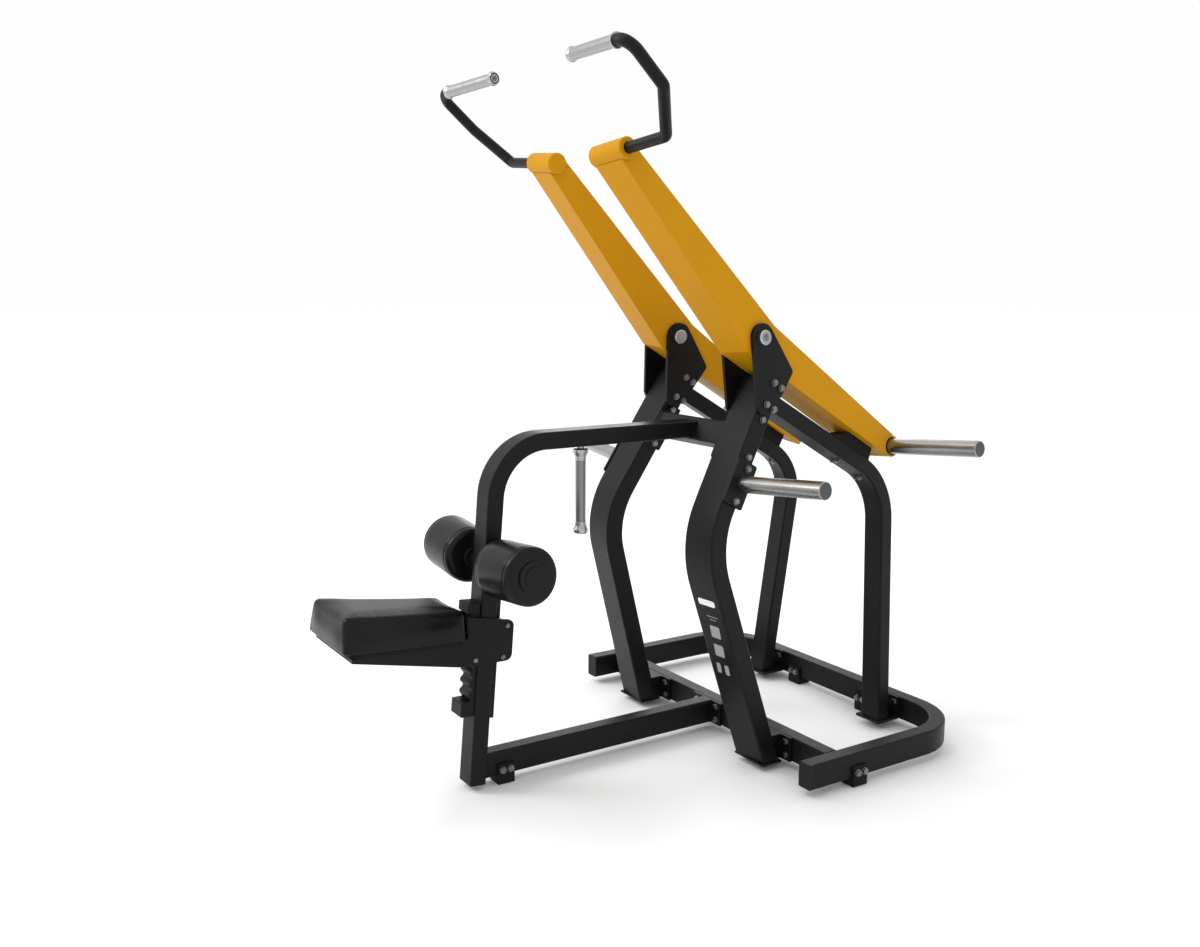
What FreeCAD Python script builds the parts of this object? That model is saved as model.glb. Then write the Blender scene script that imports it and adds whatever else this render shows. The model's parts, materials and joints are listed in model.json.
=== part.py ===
"""Plate-loaded lat pulldown machine: floor frame, seat, thigh rollers and two pull-down arms.

Millimetres, +Z up, +X to the right and +Y to the rear. The origin is on the floor, below the
middle of the machine. Each side assembly (upright, rear post, pivot plates, arm) stands in a
plane that leans inward and toes out a little, so it has a frame of its own at the arm's pivot:
local X runs along the pivot shaft, local Y to the rear and local Z up. The left side is the
mirror image of the right, so its pieces are drawn with local X negated ("side" is +1 or -1).
"""
import FreeCAD
import Part
import Sketcher
import math
import os
import re

Vector = FreeCAD.Vector
Rotation = FreeCAD.Rotation
Placement = FreeCAD.Placement

DIMENSIONS = [
    # floor frame
    ("frame_bottom", 25, "height of the floor tubes above the floor"),
    ("frame_height", 75, "height of the floor tubes"),
    ("frame_tube", 50, "width of the floor tubes"),
    ("frame_width", 1172, "overall width of the U-shaped floor tube"),
    ("frame_rear", 929, "rear face of the U-shaped floor tube"),
    ("frame_front", 258, "front ends of the U-shaped floor tube"),
    ("frame_bend", 175, "centreline radius of the U's corners"),
    ("cross_front", 348, "front face of the cross beam"),
    ("tube_wall", 3, "wall of every frame tube"),
    ("tube_round", 6, "outside corner radius of every frame tube"),
    ("flange_thick", 8, "thickness of the bolted flanges"),
    # side frames, placed at the pivots
    ("pivot_x", 198.1, "pivot centre from the middle plane"),
    ("pivot_y", 306.2, "pivot centre to the rear"),
    ("pivot_z", 1272.6, "pivot centre above the floor"),
    ("side_yaw", 2.93, "toe-out of a side frame, degrees"),
    ("side_lean", 5.18, "inward lean of a side frame, degrees"),
    ("upright_width", 120, "width of an upright along the pivot"),
    ("upright_depth", 60, "depth of an upright"),
    ("upright_bend", 275, "centreline radius of an upright's bend"),
    ("post_width", 75, "width of a rear post along the pivot"),
    ("post_depth", 50, "depth of a rear post"),
    ("post_bend", 198, "centreline radius of a rear post's bend"),
    ("plate_thick", 10, "thickness of a pivot plate"),
    ("plate_head", 42, "radius of a pivot plate's round head"),
    ("shaft_diameter", 35, "pivot shaft"),
    ("shaft_cap", 44, "cap on each end of the pivot shaft"),
    # storage and loading horns
    ("horn_diameter", 50, "weight horn, the standard plate sleeve"),
    ("horn_bore", 38, "bore of a weight horn"),
    ("horn_spigot", 48, "part of a loading horn inside the arm"),
    ("storage_reach", 388, "end of a storage horn from the side frame's middle"),
    ("loading_reach", 393, "end of a loading horn from the side frame's middle"),
    ("horn_disc", 49, "end disc of a loading horn, within a plate's hub"),
    # arms
    ("arm_width", 118, "width of an arm across its side plates"),
    ("arm_wall", 5, "plate of the folded arm"),
    ("arm_boss", 60, "boss that carries the arm on its shaft"),
    ("arm_bore", 35.1, "bore of the boss, a running fit on the shaft"),
    ("barrel_diameter", 60, "barrel across the arm's front end"),
    ("barrel_width", 142, "length of the barrel"),
    ("saddle_radius", 35, "outer radius of the saddle round the loading horn"),
    ("handle_tube", 31, "bent handle tube"),
    ("handle_wall", 3, "wall of the handle tube"),
    ("handle_bend", 40, "bend radius of the handle tube at the grip"),
    ("handle_kink", 20, "bend radius of its two outer corners"),
    ("grip_diameter", 34, "grip sleeve"),
    ("grip_length", 216, "grip sleeve between its collars"),
    ("collar_diameter", 40, "flared collar of a grip"),
    ("collar_length", 15, "length of a grip collar"),
    # seat mast
    ("mast_width", 75, "width of the seat mast"),
    ("mast_depth", 50, "depth of the seat mast"),
    ("mast_bend", 162, "centreline radius of the gooseneck"),
    ("mast_foot_y", -536.3, "front face of the mast, at the level of the floor"),
    ("mast_slope", 0.083, "rearward travel of the mast per millimetre of height"),
    ("mast_top", 1017, "top face of the gooseneck"),
    # upper cross member
    ("member_y", 266, "centre of the upper cross member"),
    ("member_z", 984, "centre of the upper cross member"),
    ("member_tilt", 30.1, "tilt of the upper cross member, degrees"),
    ("member_height", 75, "size of the cross member along its tilt"),
    ("member_depth", 50, "size of the cross member across its tilt"),
    # thigh rollers
    ("roller_diameter", 164, "foam roller"),
    ("roller_length", 184, "foam roller"),
    ("roller_x", 78, "inner end of a roller from the middle plane"),
    ("roller_y", -460, "inner end of a roller's axis"),
    ("roller_z", 658, "inner end of a roller's axis"),
    ("roller_rise", 3.7, "upward slope of a roller's axis, degrees"),
    ("roller_sweep", 2.2, "rearward sweep of a roller's axis, degrees"),
    ("axle_diameter", 25, "axle of a roller"),
    ("hub_diameter", 40, "tube inside the foam"),
    ("hub_bore", 25.1, "bore of the hub, a running fit on the axle"),
    ("disc_diameter", 85, "end disc of a roller"),
    # centre handle
    ("hand_y", -145, "centre handle from the origin"),
    ("hand_low", 741, "lower end of the centre handle's tube"),
    ("hand_high", 923, "upper end of the centre handle's tube"),
    ("hand_diameter", 30, "tube of the centre handle"),
    ("knob_diameter", 44, "flared ends of the centre handle"),
    # seat
    ("slide_gap", 1, "gap between the mast and each carriage plate"),
    ("carriage_plate", 8, "thickness of a carriage plate"),
    ("tray_wall", 3, "sheet of the seat tray"),
    ("board_thick", 12, "seat board"),
    ("notch_pitch", 33, "pitch of the height notches"),
    # fasteners and feet
    ("bolt_flats", 17, "hexagon across flats"),
    ("bolt_head", 6.4, "height of a bolt head"),
    ("washer_diameter", 21, "washer"),
    ("washer_thick", 2, "washer"),
    ("small_flats", 10, "hexagon across flats of a carriage bolt"),
    ("small_head", 4, "height of a carriage bolt's head"),
    ("small_washer", 13, "washer of a carriage bolt"),
    ("foot_length", 52, "length of a rubber foot"),
    ("foot_wing", 9, "thickness of a foot's upright wing"),
    ("foot_top", 62, "top of a foot's upright wing"),
]

DOC = FreeCAD.newDocument("LatPulldown")
ALIASES = {alias for alias, _, _ in DIMENSIONS}
PIECES = []


# ---------------------------------------------------------------------------------- sheet

def make_sheet():
    """Write the driving dimensions into the spreadsheet, one aliased cell each."""
    sheet = DOC.addObject("Spreadsheet::Sheet", "Sheet")
    for row, (alias, value, meaning) in enumerate(DIMENSIONS, start=1):
        sheet.set(f"A{row}", meaning)
        sheet.set(f"B{row}", str(value))
        sheet.setAlias(f"B{row}", alias)
    DOC.recompute()
    return sheet


SHEET = make_sheet()


def bind(text):
    """An expression on the sheet's aliases, in the form that a property takes."""
    return re.sub(r"[a-z_]+", lambda word: "Sheet." + word.group() if word.group() in ALIASES
                  else word.group(), text)


def size(text):
    """The value of a number or of an expression on the sheet's aliases."""
    if isinstance(text, str):
        return float(SHEET.evalExpression(bind(text)))
    return float(text)


def set_size(thing, prop, text):
    """Give a property its value, and bind it to the sheet when the value is an expression."""
    setattr(thing, prop, size(text))
    if isinstance(text, str):
        thing.setExpression(prop, bind(text))


# ---------------------------------------------------------------------- plane geometry

def rounded(corners, closed):
    """Edges through the corners, as (curve, start, end, radius); (u, v, radius) rounds a corner."""
    count = len(corners)
    arrivals = []
    departures = []
    for index, corner in enumerate(corners):
        point = Vector(corner[0], corner[1], 0)
        radius = size(corner[2]) if len(corner) > 2 else 0
        if radius and (closed or 0 < index < count - 1):
            before = Vector(*corners[index - 1][:2], 0)
            after = Vector(*corners[(index + 1) % count][:2], 0)
            back = (before - point).normalize()
            ahead = (after - point).normalize()
            half = back.getAngle(ahead) / 2
            reach = radius / math.tan(half)
            inward = (back + ahead).normalize()
            middle = point + inward * (radius / math.sin(half) - radius)
            arrivals.append(point + back * reach)
            departures.append((point + ahead * reach, middle, corner[2]))
        else:
            arrivals.append(point)
            departures.append((point, None, 0))
    edges = []
    for index in range(count):
        leave, middle, radius = departures[index]
        if middle is not None:
            arc = Part.Arc(arrivals[index], middle, leave)
            edges.append((arc, arrivals[index], leave, radius))
        if closed or index < count - 1:
            arrive = arrivals[(index + 1) % count]
            if (arrive - leave).Length > 0.001:
                edges.append((Part.LineSegment(leave, arrive), leave, arrive, 0))
    return edges


def offset_line(line, distance):
    """A line (point, direction) moved to the left of its direction by a distance."""
    (u, v), (du, dv) = line
    length = math.hypot(du, dv)
    return (u - dv / length * distance, v + du / length * distance), (du, dv)


def meet(first, second):
    """Where two lines, each (point, direction), cross."""
    (u1, v1), (a1, b1) = first
    (u2, v2), (a2, b2) = second
    across = a1 * b2 - b1 * a2
    along = ((u2 - u1) * b2 - (v2 - v1) * a2) / across
    return u1 + a1 * along, v1 + b1 * along


def shrink(points, distance):
    """The outline moved inward by a distance; the points run counter-clockwise."""
    count = len(points)
    sides = []
    for index in range(count):
        start = points[index]
        end = points[(index + 1) % count]
        direction = (end[0] - start[0], end[1] - start[1])
        sides.append(offset_line((start, direction), distance))
    return [meet(sides[index - 1], sides[index]) for index in range(count)]


# ------------------------------------------------------------------------ body helpers

def new_body(name, placement=None):
    """A body that will be written out as one sub-part."""
    body = DOC.addObject("PartDesign::Body", name)
    body.Label = name
    if placement is not None:
        body.Placement = placement
    PIECES.append(body)
    return body


def new_sketch(body, plane, offset=None, tilt=None):
    """A sketch on one of the body's own planes, moved along its normal or set by a placement."""
    sketch = body.newObject("Sketcher::SketchObject", body.Name + "_sketch")
    support = [item for item in body.Origin.OriginFeatures if item.Role == plane]
    sketch.AttachmentSupport = [(support[0], "")]
    sketch.MapMode = "FlatFace"
    if tilt is not None:
        sketch.AttachmentOffset = tilt
    if offset is not None:
        sketch.AttachmentOffset = Placement(Vector(0, 0, size(offset)), Rotation())
        if isinstance(offset, str):
            sketch.setExpression("AttachmentOffset.Base.z", bind(offset))
    return sketch


def end_of(sketch, edge, point):
    """Which end of an edge, 1 or 2, lies at a point."""
    first = (sketch.getPoint(edge, 1) - point).Length
    second = (sketch.getPoint(edge, 2) - point).Length
    return 1 if first < second else 2


def trace(sketch, corners, closed=True):
    """Draw an outline or a path; round corners are tangent arcs with their radius bound."""
    edges = rounded(corners, closed)
    ids = [sketch.addGeometry(edge[0], False) for edge in edges]
    for index in range(len(ids) if closed else len(ids) - 1):
        after = (index + 1) % len(ids)
        here = end_of(sketch, ids[index], edges[index][2])
        there = end_of(sketch, ids[after], edges[after][1])
        smooth = edges[index][3] or edges[after][3]
        kind = "Tangent" if smooth else "Coincident"
        sketch.addConstraint(Sketcher.Constraint(kind, ids[index], here, ids[after], there))
    for edge, drawn in zip(ids, edges):
        if drawn[3]:
            bound = sketch.addConstraint(Sketcher.Constraint("Radius", edge, size(drawn[3])))
            if isinstance(drawn[3], str):
                sketch.setExpression(f"Constraints[{bound}]", bind(drawn[3]))


def rectangle(sketch, width, height, centre=(0, 0)):
    """A rectangle whose width and height are bound to the sheet."""
    u, v = centre
    half_w = size(width) / 2
    half_h = size(height) / 2
    corners = [(u - half_w, v - half_h), (u + half_w, v - half_h),
               (u + half_w, v + half_h), (u - half_w, v + half_h)]
    trace(sketch, corners)
    for edge, kind in enumerate(["Horizontal", "Vertical", "Horizontal", "Vertical"]):
        sketch.addConstraint(Sketcher.Constraint(kind, edge))
    for edge, kind, text in ((0, "DistanceX", width), (1, "DistanceY", height)):
        bound = sketch.addConstraint(Sketcher.Constraint(kind, edge, 1, edge, 2, size(text)))
        if isinstance(text, str):
            sketch.setExpression(f"Constraints[{bound}]", bind(text))


def circle(sketch, diameter, centre=(0, 0)):
    """A circle whose diameter is bound to the sheet."""
    drawn = Part.Circle(Vector(centre[0], centre[1], 0), Vector(0, 0, 1), size(diameter) / 2)
    edge = sketch.addGeometry(drawn, False)
    bound = sketch.addConstraint(Sketcher.Constraint("Diameter", edge, size(diameter)))
    if isinstance(diameter, str):
        sketch.setExpression(f"Constraints[{bound}]", bind(diameter))


def tube_section(sketch, width, height):
    """The rounded outline of a rectangular tube and of its hollow, centred on the sketch."""
    for inset, radius in ((0, "tube_round"), (size("tube_wall"), "tube_round - tube_wall")):
        half_w = size(width) / 2 - inset
        half_h = size(height) / 2 - inset
        trace(sketch, [(-half_w, -half_h, radius), (half_w, -half_h, radius),
                       (half_w, half_h, radius), (-half_w, half_h, radius)])


def pad(body, sketch, length, midplane=False, backward=False):
    """Pad a sketch by a length bound to the sheet."""
    feature = body.newObject("PartDesign::Pad", body.Name + "_pad")
    feature.Profile = sketch
    set_size(feature, "Length", length)
    feature.Midplane = midplane
    feature.Reversed = backward
    DOC.recompute()
    return feature


def pocket(body, sketch, length=None, backward=False):
    """Cut a sketch out of the body: through all both ways, or by a length; it must cut."""
    before = body.Shape.Volume
    feature = body.newObject("PartDesign::Pocket", body.Name + "_pocket")
    feature.Profile = sketch
    if length is None:
        feature.Type = "ThroughAll"
        feature.Midplane = True
    else:
        set_size(feature, "Length", length)
        feature.Reversed = backward
    DOC.recompute()
    if body.Shape.Volume > before - 1:
        raise ValueError(f"{body.Name}: a pocket cuts nothing")
    return feature


def sweep(body, path, section):
    """Sweep a section along a path sketch."""
    feature = body.newObject("PartDesign::AdditivePipe", body.Name + "_pipe")
    feature.Profile = section
    feature.Spine = (path, [])
    feature.Mode = "Standard"
    DOC.recompute()
    return feature


def round_edges(body, radius, wanted):
    """Round the edges of the body's tip that the test accepts."""
    names = [f"Edge{number}" for number, edge in enumerate(body.Shape.Edges, start=1)
             if wanted(edge)]
    base = body.Tip
    feature = body.newObject("PartDesign::Fillet", body.Name + "_fillet")
    feature.Base = (base, names)
    set_size(feature, "Radius", radius)
    DOC.recompute()
    return feature


def turn(body, outline):
    """Turn a closed outline of (x, radius) points about local X."""
    sketch = new_sketch(body, "XY_Plane")
    trace(sketch, outline)
    feature = body.newObject("PartDesign::Revolution", body.Name + "_turned")
    feature.Profile = sketch
    feature.ReferenceAxis = (sketch, ["H_Axis"])
    feature.Angle = 360
    DOC.recompute()
    return feature


# ---------------------------------------------------------------------- side frames

SIDES = (("right", 1), ("left", -1))

# Lines of a side frame's plane, each (point, direction) with the direction pointing up
UPRIGHT_LOWER_FRONT = ((-52.7, -1253), (-0.290, 1))
UPRIGHT_UPPER_FRONT = ((68.2, -39.5), (0.5798, 1))
UPRIGHT_TOP = -123.2                  # level of the upright's upper end
POST_FRONT = ((560.8, -37.05), (0.066, 1))
POST_BASE = -1239                     # lower end of a rear post, on its base plate
SLOPE_TOP = ((583, -459), (-1, 0.571))
BARREL = (-460, 506)                  # barrel centre
HORN = (553, -358)                    # loading horn centre
STORAGE = (-98, -417)                 # storage horn centre
ARM_KINK_TOP = (57, 33)
ARM_KINK_BOTTOM = (-53, -38)
UPRIGHT_BOLTS = ((36, -132), (63, -149), (2, -193), (30, -209))
MEMBER_BOLTS = ((-7, -237), (-68, -342))
STORAGE_BOLTS = ((-79, -374), (-130, -462))


def side_placement(side, offset=(0, 0, 0), turn_by=None):
    """Placement in a side frame: a point of it, and a rotation within it."""
    rotation = (Rotation(Vector(0, 0, 1), size("side_yaw") * side)
                * Rotation(Vector(0, 1, 0), -size("side_lean") * side))
    base = Vector(size("pivot_x") * side, size("pivot_y"), size("pivot_z"))
    frame = Placement(base, rotation)
    local = Placement(Vector(*offset), turn_by if turn_by is not None else Rotation())
    return frame.multiply(local)


def plane_tilt(point, direction, side_x=0):
    """A sketch placement square to a direction (u, v) of the YZ plane, local X kept."""
    along = Vector(0, direction[0], direction[1]).normalize()
    across = Vector(1, 0, 0)
    rotation = Rotation(across, along.cross(across), along, "ZXY")
    return Placement(Vector(side_x, point[0], point[1]), rotation)


def bent_tube(name, placement, corners, width, depth):
    """A bent rectangular tube in the YZ plane: its path's corners, width along X and depth."""
    body = new_body(name, placement)
    path = new_sketch(body, "YZ_Plane")
    trace(path, corners, closed=False)
    start = corners[0]
    direction = (corners[1][0] - start[0], corners[1][1] - start[1])
    section = new_sketch(body, "XY_Plane", tilt=plane_tilt(start, direction))
    tube_section(section, width, depth)
    DOC.recompute()
    sweep(body, path, section)
    return body


def level_cut(body, side, level):
    """Cut a side-frame body level with the floor at a height (world Z)."""
    lean = math.radians(size("side_lean")) * side
    drop = (level - size("pivot_z")) / math.cos(lean)
    reach = 150
    skew = reach * math.tan(lean)
    sketch = new_sketch(body, "XZ_Plane")
    trace(sketch, [(-reach, drop + skew - reach), (reach, drop - skew - reach),
                   (reach, drop - skew), (-reach, drop + skew)])
    pocket(body, sketch)


def make_upright(name, side):
    """Front upright: a bent 120 x 60 tube from the floor to the arm's pivot plates."""
    depth = size("upright_depth") / 2
    lower = offset_line(UPRIGHT_LOWER_FRONT, -depth)
    upper = offset_line(UPRIGHT_UPPER_FRONT, -depth)
    knee = meet(lower, upper)
    foot = meet(lower, ((0, -1280), (1, 0)))
    top = meet(upper, ((0, UPRIGHT_TOP), (1, 0)))
    corners = [foot, (*knee, "upright_bend"), top]
    body = bent_tube(name, side_placement(side), corners, "upright_width", "upright_depth")
    level_cut(body, side, size("frame_bottom"))


def trim_to_line(body, line, keep):
    """Cut away what lies beyond a line of the YZ plane; keep is +1 for its rear side."""
    (u, v), (du, dv) = line
    length = math.hypot(du, dv)
    away = (-dv / length * 150 * keep, du / length * 150 * keep)
    du, dv = du / length * 400, dv / length * 400
    sketch = new_sketch(body, "YZ_Plane")
    trace(sketch, [(u - du, v - dv), (u + du, v + dv),
                   (u + du + away[0], v + dv + away[1]), (u - du + away[0], v - dv + away[1])])
    DOC.recompute()
    pocket(body, sketch)


def make_rear_post(name, side):
    """Rear post: a bent 75 x 50 tube from the rear foot up to the upright's rear face."""
    half = size("post_depth") / 2
    rise = offset_line(POST_FRONT, -half)
    slope = offset_line(SLOPE_TOP, half)
    corner = meet(rise, slope)
    foot = meet(rise, ((0, -1280), (1, 0)))
    rear_face = offset_line(UPRIGHT_UPPER_FRONT, -size("upright_depth"))
    top = meet(slope, offset_line(rear_face, 5))
    corners = [foot, (*corner, "post_bend"), top]
    body = bent_tube(name, side_placement(side), corners, "post_width", "post_depth")
    level_cut(body, side, size("frame_bottom + flange_thick"))
    trim_to_line(body, rear_face, 1)


def slab(name, side, outline, thickness, near, holes=()):
    """A flat plate of a side frame, from local X = near outwards by its thickness."""
    body = new_body(name, side_placement(side))
    start = near if side > 0 else -near - size(thickness)
    sketch = new_sketch(body, "YZ_Plane", offset=start)
    trace(sketch, outline)
    DOC.recompute()
    pad(body, sketch, thickness)
    for diameter, centre in holes:
        hole = new_sketch(body, "YZ_Plane", offset=start)
        circle(hole, diameter, centre)
        DOC.recompute()
        pocket(body, hole)
    return body


def head_corner(point, radius, turn_by):
    """Where a tangent from a point to the pivot's circle meets the circle's top level."""
    distance = math.hypot(*point)
    angle = math.atan2(-point[1], -point[0]) + math.asin(radius / distance) * turn_by
    return meet((point, (math.cos(angle), math.sin(angle))), ((0, radius), (1, 0)))


def make_pivot_plate(name, side, near):
    """Pivot plate: a round head on the shaft above a lug that is bolted to the upright."""
    radius = size("plate_head")
    front = (-33, -200)
    rear = (113, -98)
    outline = [(*head_corner(front, radius, 1), "plate_head"), (*front, 8), (-24, -219, 8),
               (9, -224, 8), (64, -173), (112, -107, 6), rear,
               (*head_corner(rear, radius, -1), "plate_head")]
    slab(name, side, outline, "plate_thick", near, holes=[("shaft_diameter", (0, 0))])


def make_pivot_shaft(name, side):
    """Pivot shaft through both plates, with a cap against each plate's outer face."""
    body = new_body(name, side_placement(side))
    shaft = size("shaft_diameter") / 2
    cap = size("shaft_cap") / 2
    face = size("upright_width") / 2 + size("plate_thick")
    end = face + 12
    turn(body, [(-end, 0), (-end, cap - 2), (-end + 2, cap), (-face, cap), (-face, shaft),
                (face, shaft), (face, cap), (end - 2, cap), (end, cap - 2), (end, 0)])


def aligned(centre, along, across):
    """A rectangle in line with the upper part of an upright."""
    du, dv = UPRIGHT_UPPER_FRONT[1]
    length = math.hypot(du, dv)
    du, dv = du / length, dv / length
    corners = []
    for up, right in ((-1, -1), (-1, 1), (1, 1), (1, -1)):
        corners.append((centre[0] + du * up * along / 2 + dv * right * across / 2,
                        centre[1] + dv * up * along / 2 - du * right * across / 2, 6))
    return corners


def member_flange():
    """Flange of the upper cross member, its front top corner cut off below the pivot plate."""
    return aligned((-37.5, -289.5), 150, 60)[:3] + [(3.6, -227.5), (-43.5, -239)]


def make_storage_bracket(name, side):
    """Plate that carries a storage horn on the upright's outer face."""
    slab(name, side, aligned((-108, -414), 138, 75), "flange_thick",
         size("upright_width") / 2)


def mirrored(side, outline):
    """An (x, ...) outline with x negated for the left side."""
    return [(x * side, *rest) for x, *rest in outline]


def make_storage_horn(name, side, start):
    """Storage horn: a thick tube along the pivot direction, closed and chamfered at its end."""
    body = new_body(name, side_placement(side, (0, *STORAGE)))
    outer = size("horn_diameter") / 2
    inner = size("horn_bore") / 2
    end = size("storage_reach")
    turn(body, mirrored(side, [(start, inner), (start, outer), (end - 2, outer), (end, outer - 2),
                               (end, 0), (end - 8, 0), (end - 8, inner)]))


def make_loading_horn(name, side):
    """Loading horn: a spigot through the arm, then a thick tube closed by a wider end disc."""
    body = new_body(name, side_placement(side, (0, *HORN)))
    start = size("arm_width") / 2
    spigot = size("horn_spigot") / 2
    outer = size("horn_diameter") / 2
    inner = size("horn_bore") / 2
    end = size("loading_reach")
    lip = size("horn_disc") / 2
    turn(body, mirrored(side, [(-start, inner), (-start, spigot), (start, spigot), (start, outer),
                               (end - 8, outer), (end - 8, lip), (end - 2, lip), (end, lip - 2),
                               (end, 0), (end - 8, 0), (end - 8, inner)]))


# ---------------------------------------------------------------------- arms

def unit(first, second):
    """Direction from one point of the plane to another."""
    length = math.hypot(second[0] - first[0], second[1] - first[1])
    return (second[0] - first[0]) / length, (second[1] - first[1]) / length


def arm_outline():
    """Counter-clockwise outline of an arm, from the barrel down and back to the saddle."""
    barrel = size("barrel_diameter") / 2
    saddle = size("saddle_radius")
    front = unit((0, 0), BARREL)
    rear = unit((0, 0), HORN)
    setback = 12
    near = (BARREL[0] - front[0] * setback, BARREL[1] - front[1] * setback)
    far = (HORN[0] - rear[0] * setback, HORN[1] - rear[1] * setback)
    return [(near[0] - front[1] * barrel, near[1] + front[0] * barrel),
            ARM_KINK_BOTTOM,
            (far[0] + rear[1] * saddle, far[1] - rear[0] * saddle),
            (far[0] - rear[1] * saddle, far[1] + rear[0] * saddle),
            ARM_KINK_TOP,
            (near[0] + front[1] * barrel, near[1] - front[0] * barrel)]


def arm_start(side, low, high):
    """Lower local X of a span that is mirrored for the left side."""
    return low if side > 0 else -high


def make_arm_shell(name, side):
    """Folded arm: one side plate, top and bottom strips, the pivot boss and the saddle."""
    body = new_body(name, side_placement(side))
    half = size("arm_width") / 2
    wall = size("arm_wall")
    outline = arm_outline()
    skin = new_sketch(body, "YZ_Plane", offset=arm_start(side, -half, half - wall))
    trace(skin, outline)
    pad(body, skin, "arm_width - arm_wall")
    hollow = new_sketch(body, "YZ_Plane", offset=(half - wall) * side)
    trace(hollow, shrink(outline, wall))
    pocket(body, hollow, "arm_width - 2 * arm_wall", backward=side < 0)
    boss = new_sketch(body, "YZ_Plane", offset=arm_start(side, -half, half - wall))
    circle(boss, "arm_boss")
    pad(body, boss, "arm_width - arm_wall")
    saddle = new_sketch(body, "YZ_Plane", offset=-half)
    circle(saddle, "2 * saddle_radius", HORN)
    pad(body, saddle, "arm_width")
    for diameter, centre in (("arm_bore", (0, 0)), ("horn_spigot", HORN),
                             ("barrel_diameter", BARREL)):
        hole = new_sketch(body, "YZ_Plane")
        circle(hole, diameter, centre)
        pocket(body, hole)
    rear = unit((0, 0), HORN)
    mouth = (HORN[0] + rear[0] * 6, HORN[1] + rear[1] * 6)
    trim_to_line(body, (mouth, (-rear[1], rear[0])), -1)


def make_arm_cover(name, side):
    """Outer side plate of an arm, between the barrel and the saddle."""
    half = size("arm_width") / 2
    body = slab(name, side, arm_outline(), "arm_wall", half - size("arm_wall"))
    for diameter, centre in (("arm_bore", (0, 0)), ("2 * saddle_radius", HORN),
                             ("barrel_diameter", BARREL)):
        hole = new_sketch(body, "YZ_Plane")
        circle(hole, diameter, centre)
        pocket(body, hole)


def make_barrel(name, side):
    """Barrel across the arm's front end; the handle tube is set into its outer end."""
    body = new_body(name, side_placement(side, (0, *BARREL)))
    outer = size("barrel_diameter") / 2
    socket = size("handle_tube") / 2
    end = size("barrel_width") / 2
    turn(body, mirrored(side, [(-end, 0), (-end, outer - 3), (-end + 3, outer), (end - 3, outer),
                               (end, outer - 3), (end, socket), (-end + 12, socket),
                               (-end + 12, 0)]))


HANDLE_PATH = ((-59, *BARREL), (228, *BARREL), (331, -546, 599), (342, -656, 695),
               (51, -611, 731))     # corners of the handle's axis, (out, back, up)


def handle_corners(side):
    """The handle's corners in the side frame."""
    return [Vector(out * side, back, up) for out, back, up in HANDLE_PATH]


def make_handle_tube(name, side):
    """Bent handle tube from the barrel out, forward and back in through the grip."""
    corners = handle_corners(side)
    bends = (size("handle_kink"), size("handle_kink"), size("handle_bend"))
    edges = []
    start = corners[0]
    for before, corner, after, radius in zip(corners, corners[1:], corners[2:], bends):
        back = (before - corner).normalize()
        ahead = (after - corner).normalize()
        half = back.getAngle(ahead) / 2
        reach = radius / math.tan(half)
        inward = (back + ahead).normalize() * (radius / math.sin(half) - radius)
        arrive = corner + back * reach
        leave = corner + ahead * reach
        edges.append(Part.LineSegment(start, arrive).toShape())
        edges.append(Part.Arc(arrive, corner + inward, leave).toShape())
        start = leave
    edges.append(Part.LineSegment(start, corners[-1]).toShape())
    path = Part.Wire(edges)
    along = (corners[1] - corners[0]).normalize()
    solids = []
    for cut in (0, size("handle_wall")):
        ring = Part.makeCircle(size("handle_tube") / 2 - cut, corners[0], along)
        solids.append(path.makePipeShell([Part.Wire([ring])], True, False))
    tube = DOC.addObject("Part::Feature", name)
    tube.Label = name
    tube.Shape = solids[0].cut(solids[1])
    tube.Placement = side_placement(side)
    PIECES.append(tube)


def grip_placement(side, distance):
    """Placement on the grip's axis, at a distance from its inner end, X pointing outwards."""
    corners = handle_corners(side)
    along = (corners[-2] - corners[-1]).normalize()
    point = corners[-1] + along * distance
    return side_placement(side, tuple(point), Rotation(Vector(1, 0, 0), along))


def make_grip_sleeve(name, side):
    """Knurled metal sleeve between the two collars of a grip."""
    body = new_body(name, grip_placement(side, size("collar_length")))
    inner = size("handle_tube") / 2
    outer = size("grip_diameter") / 2
    end = size("grip_length")
    turn(body, [(0, inner), (0, outer), (end, outer), (end, inner)])


def flared_collar(name, placement, closed):
    """A collar that flares away from the grip; the inner one is closed by its cap."""
    body = DOC.addObject("PartDesign::Body", name)
    body.Placement = placement
    inner = size("handle_tube") / 2
    outer = size("collar_diameter") / 2
    grip = size("grip_diameter") / 2
    end = size("collar_length")
    outline = [(0, outer - 1.5), (1.5, outer), (5, outer), (end, grip), (end, inner)]
    if closed:
        outline += [(0, inner), (0, 4.5), (-2, 4.5), (-2, 0), (-5, 0), (-5, outer - 4)]
    else:
        outline += [(0, inner)]
    turn(body, outline)
    return body


def make_grip_collars(name, side):
    """The two collars of a grip."""
    far = size("grip_length + 2 * collar_length")
    along = grip_placement(side, far)
    inner = flared_collar(name + "_inner", grip_placement(side, 0), True)
    flip = Placement(Vector(), Rotation(Vector(0, 0, 1), 180))
    outer = flared_collar(name + "_outer", along.multiply(flip), False)
    compound(name, [inner.Shape, outer.Shape])


def compound(name, shapes):
    """Separate solids that are written out as one sub-part."""
    group = DOC.addObject("Part::Feature", name)
    group.Label = name
    group.Shape = Part.makeCompound(shapes)
    group.Placement = Placement()
    PIECES.append(group)


def repeated(name, master, placements):
    """Copies of one piece at several placements, written out as one sub-part."""
    shapes = []
    for placement in placements:
        shape = master.Shape.copy()
        shape.Placement = placement.multiply(shape.Placement)
        shapes.append(shape)
    compound(name, shapes)


# ---------------------------------------------------------------------- floor frame

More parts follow.
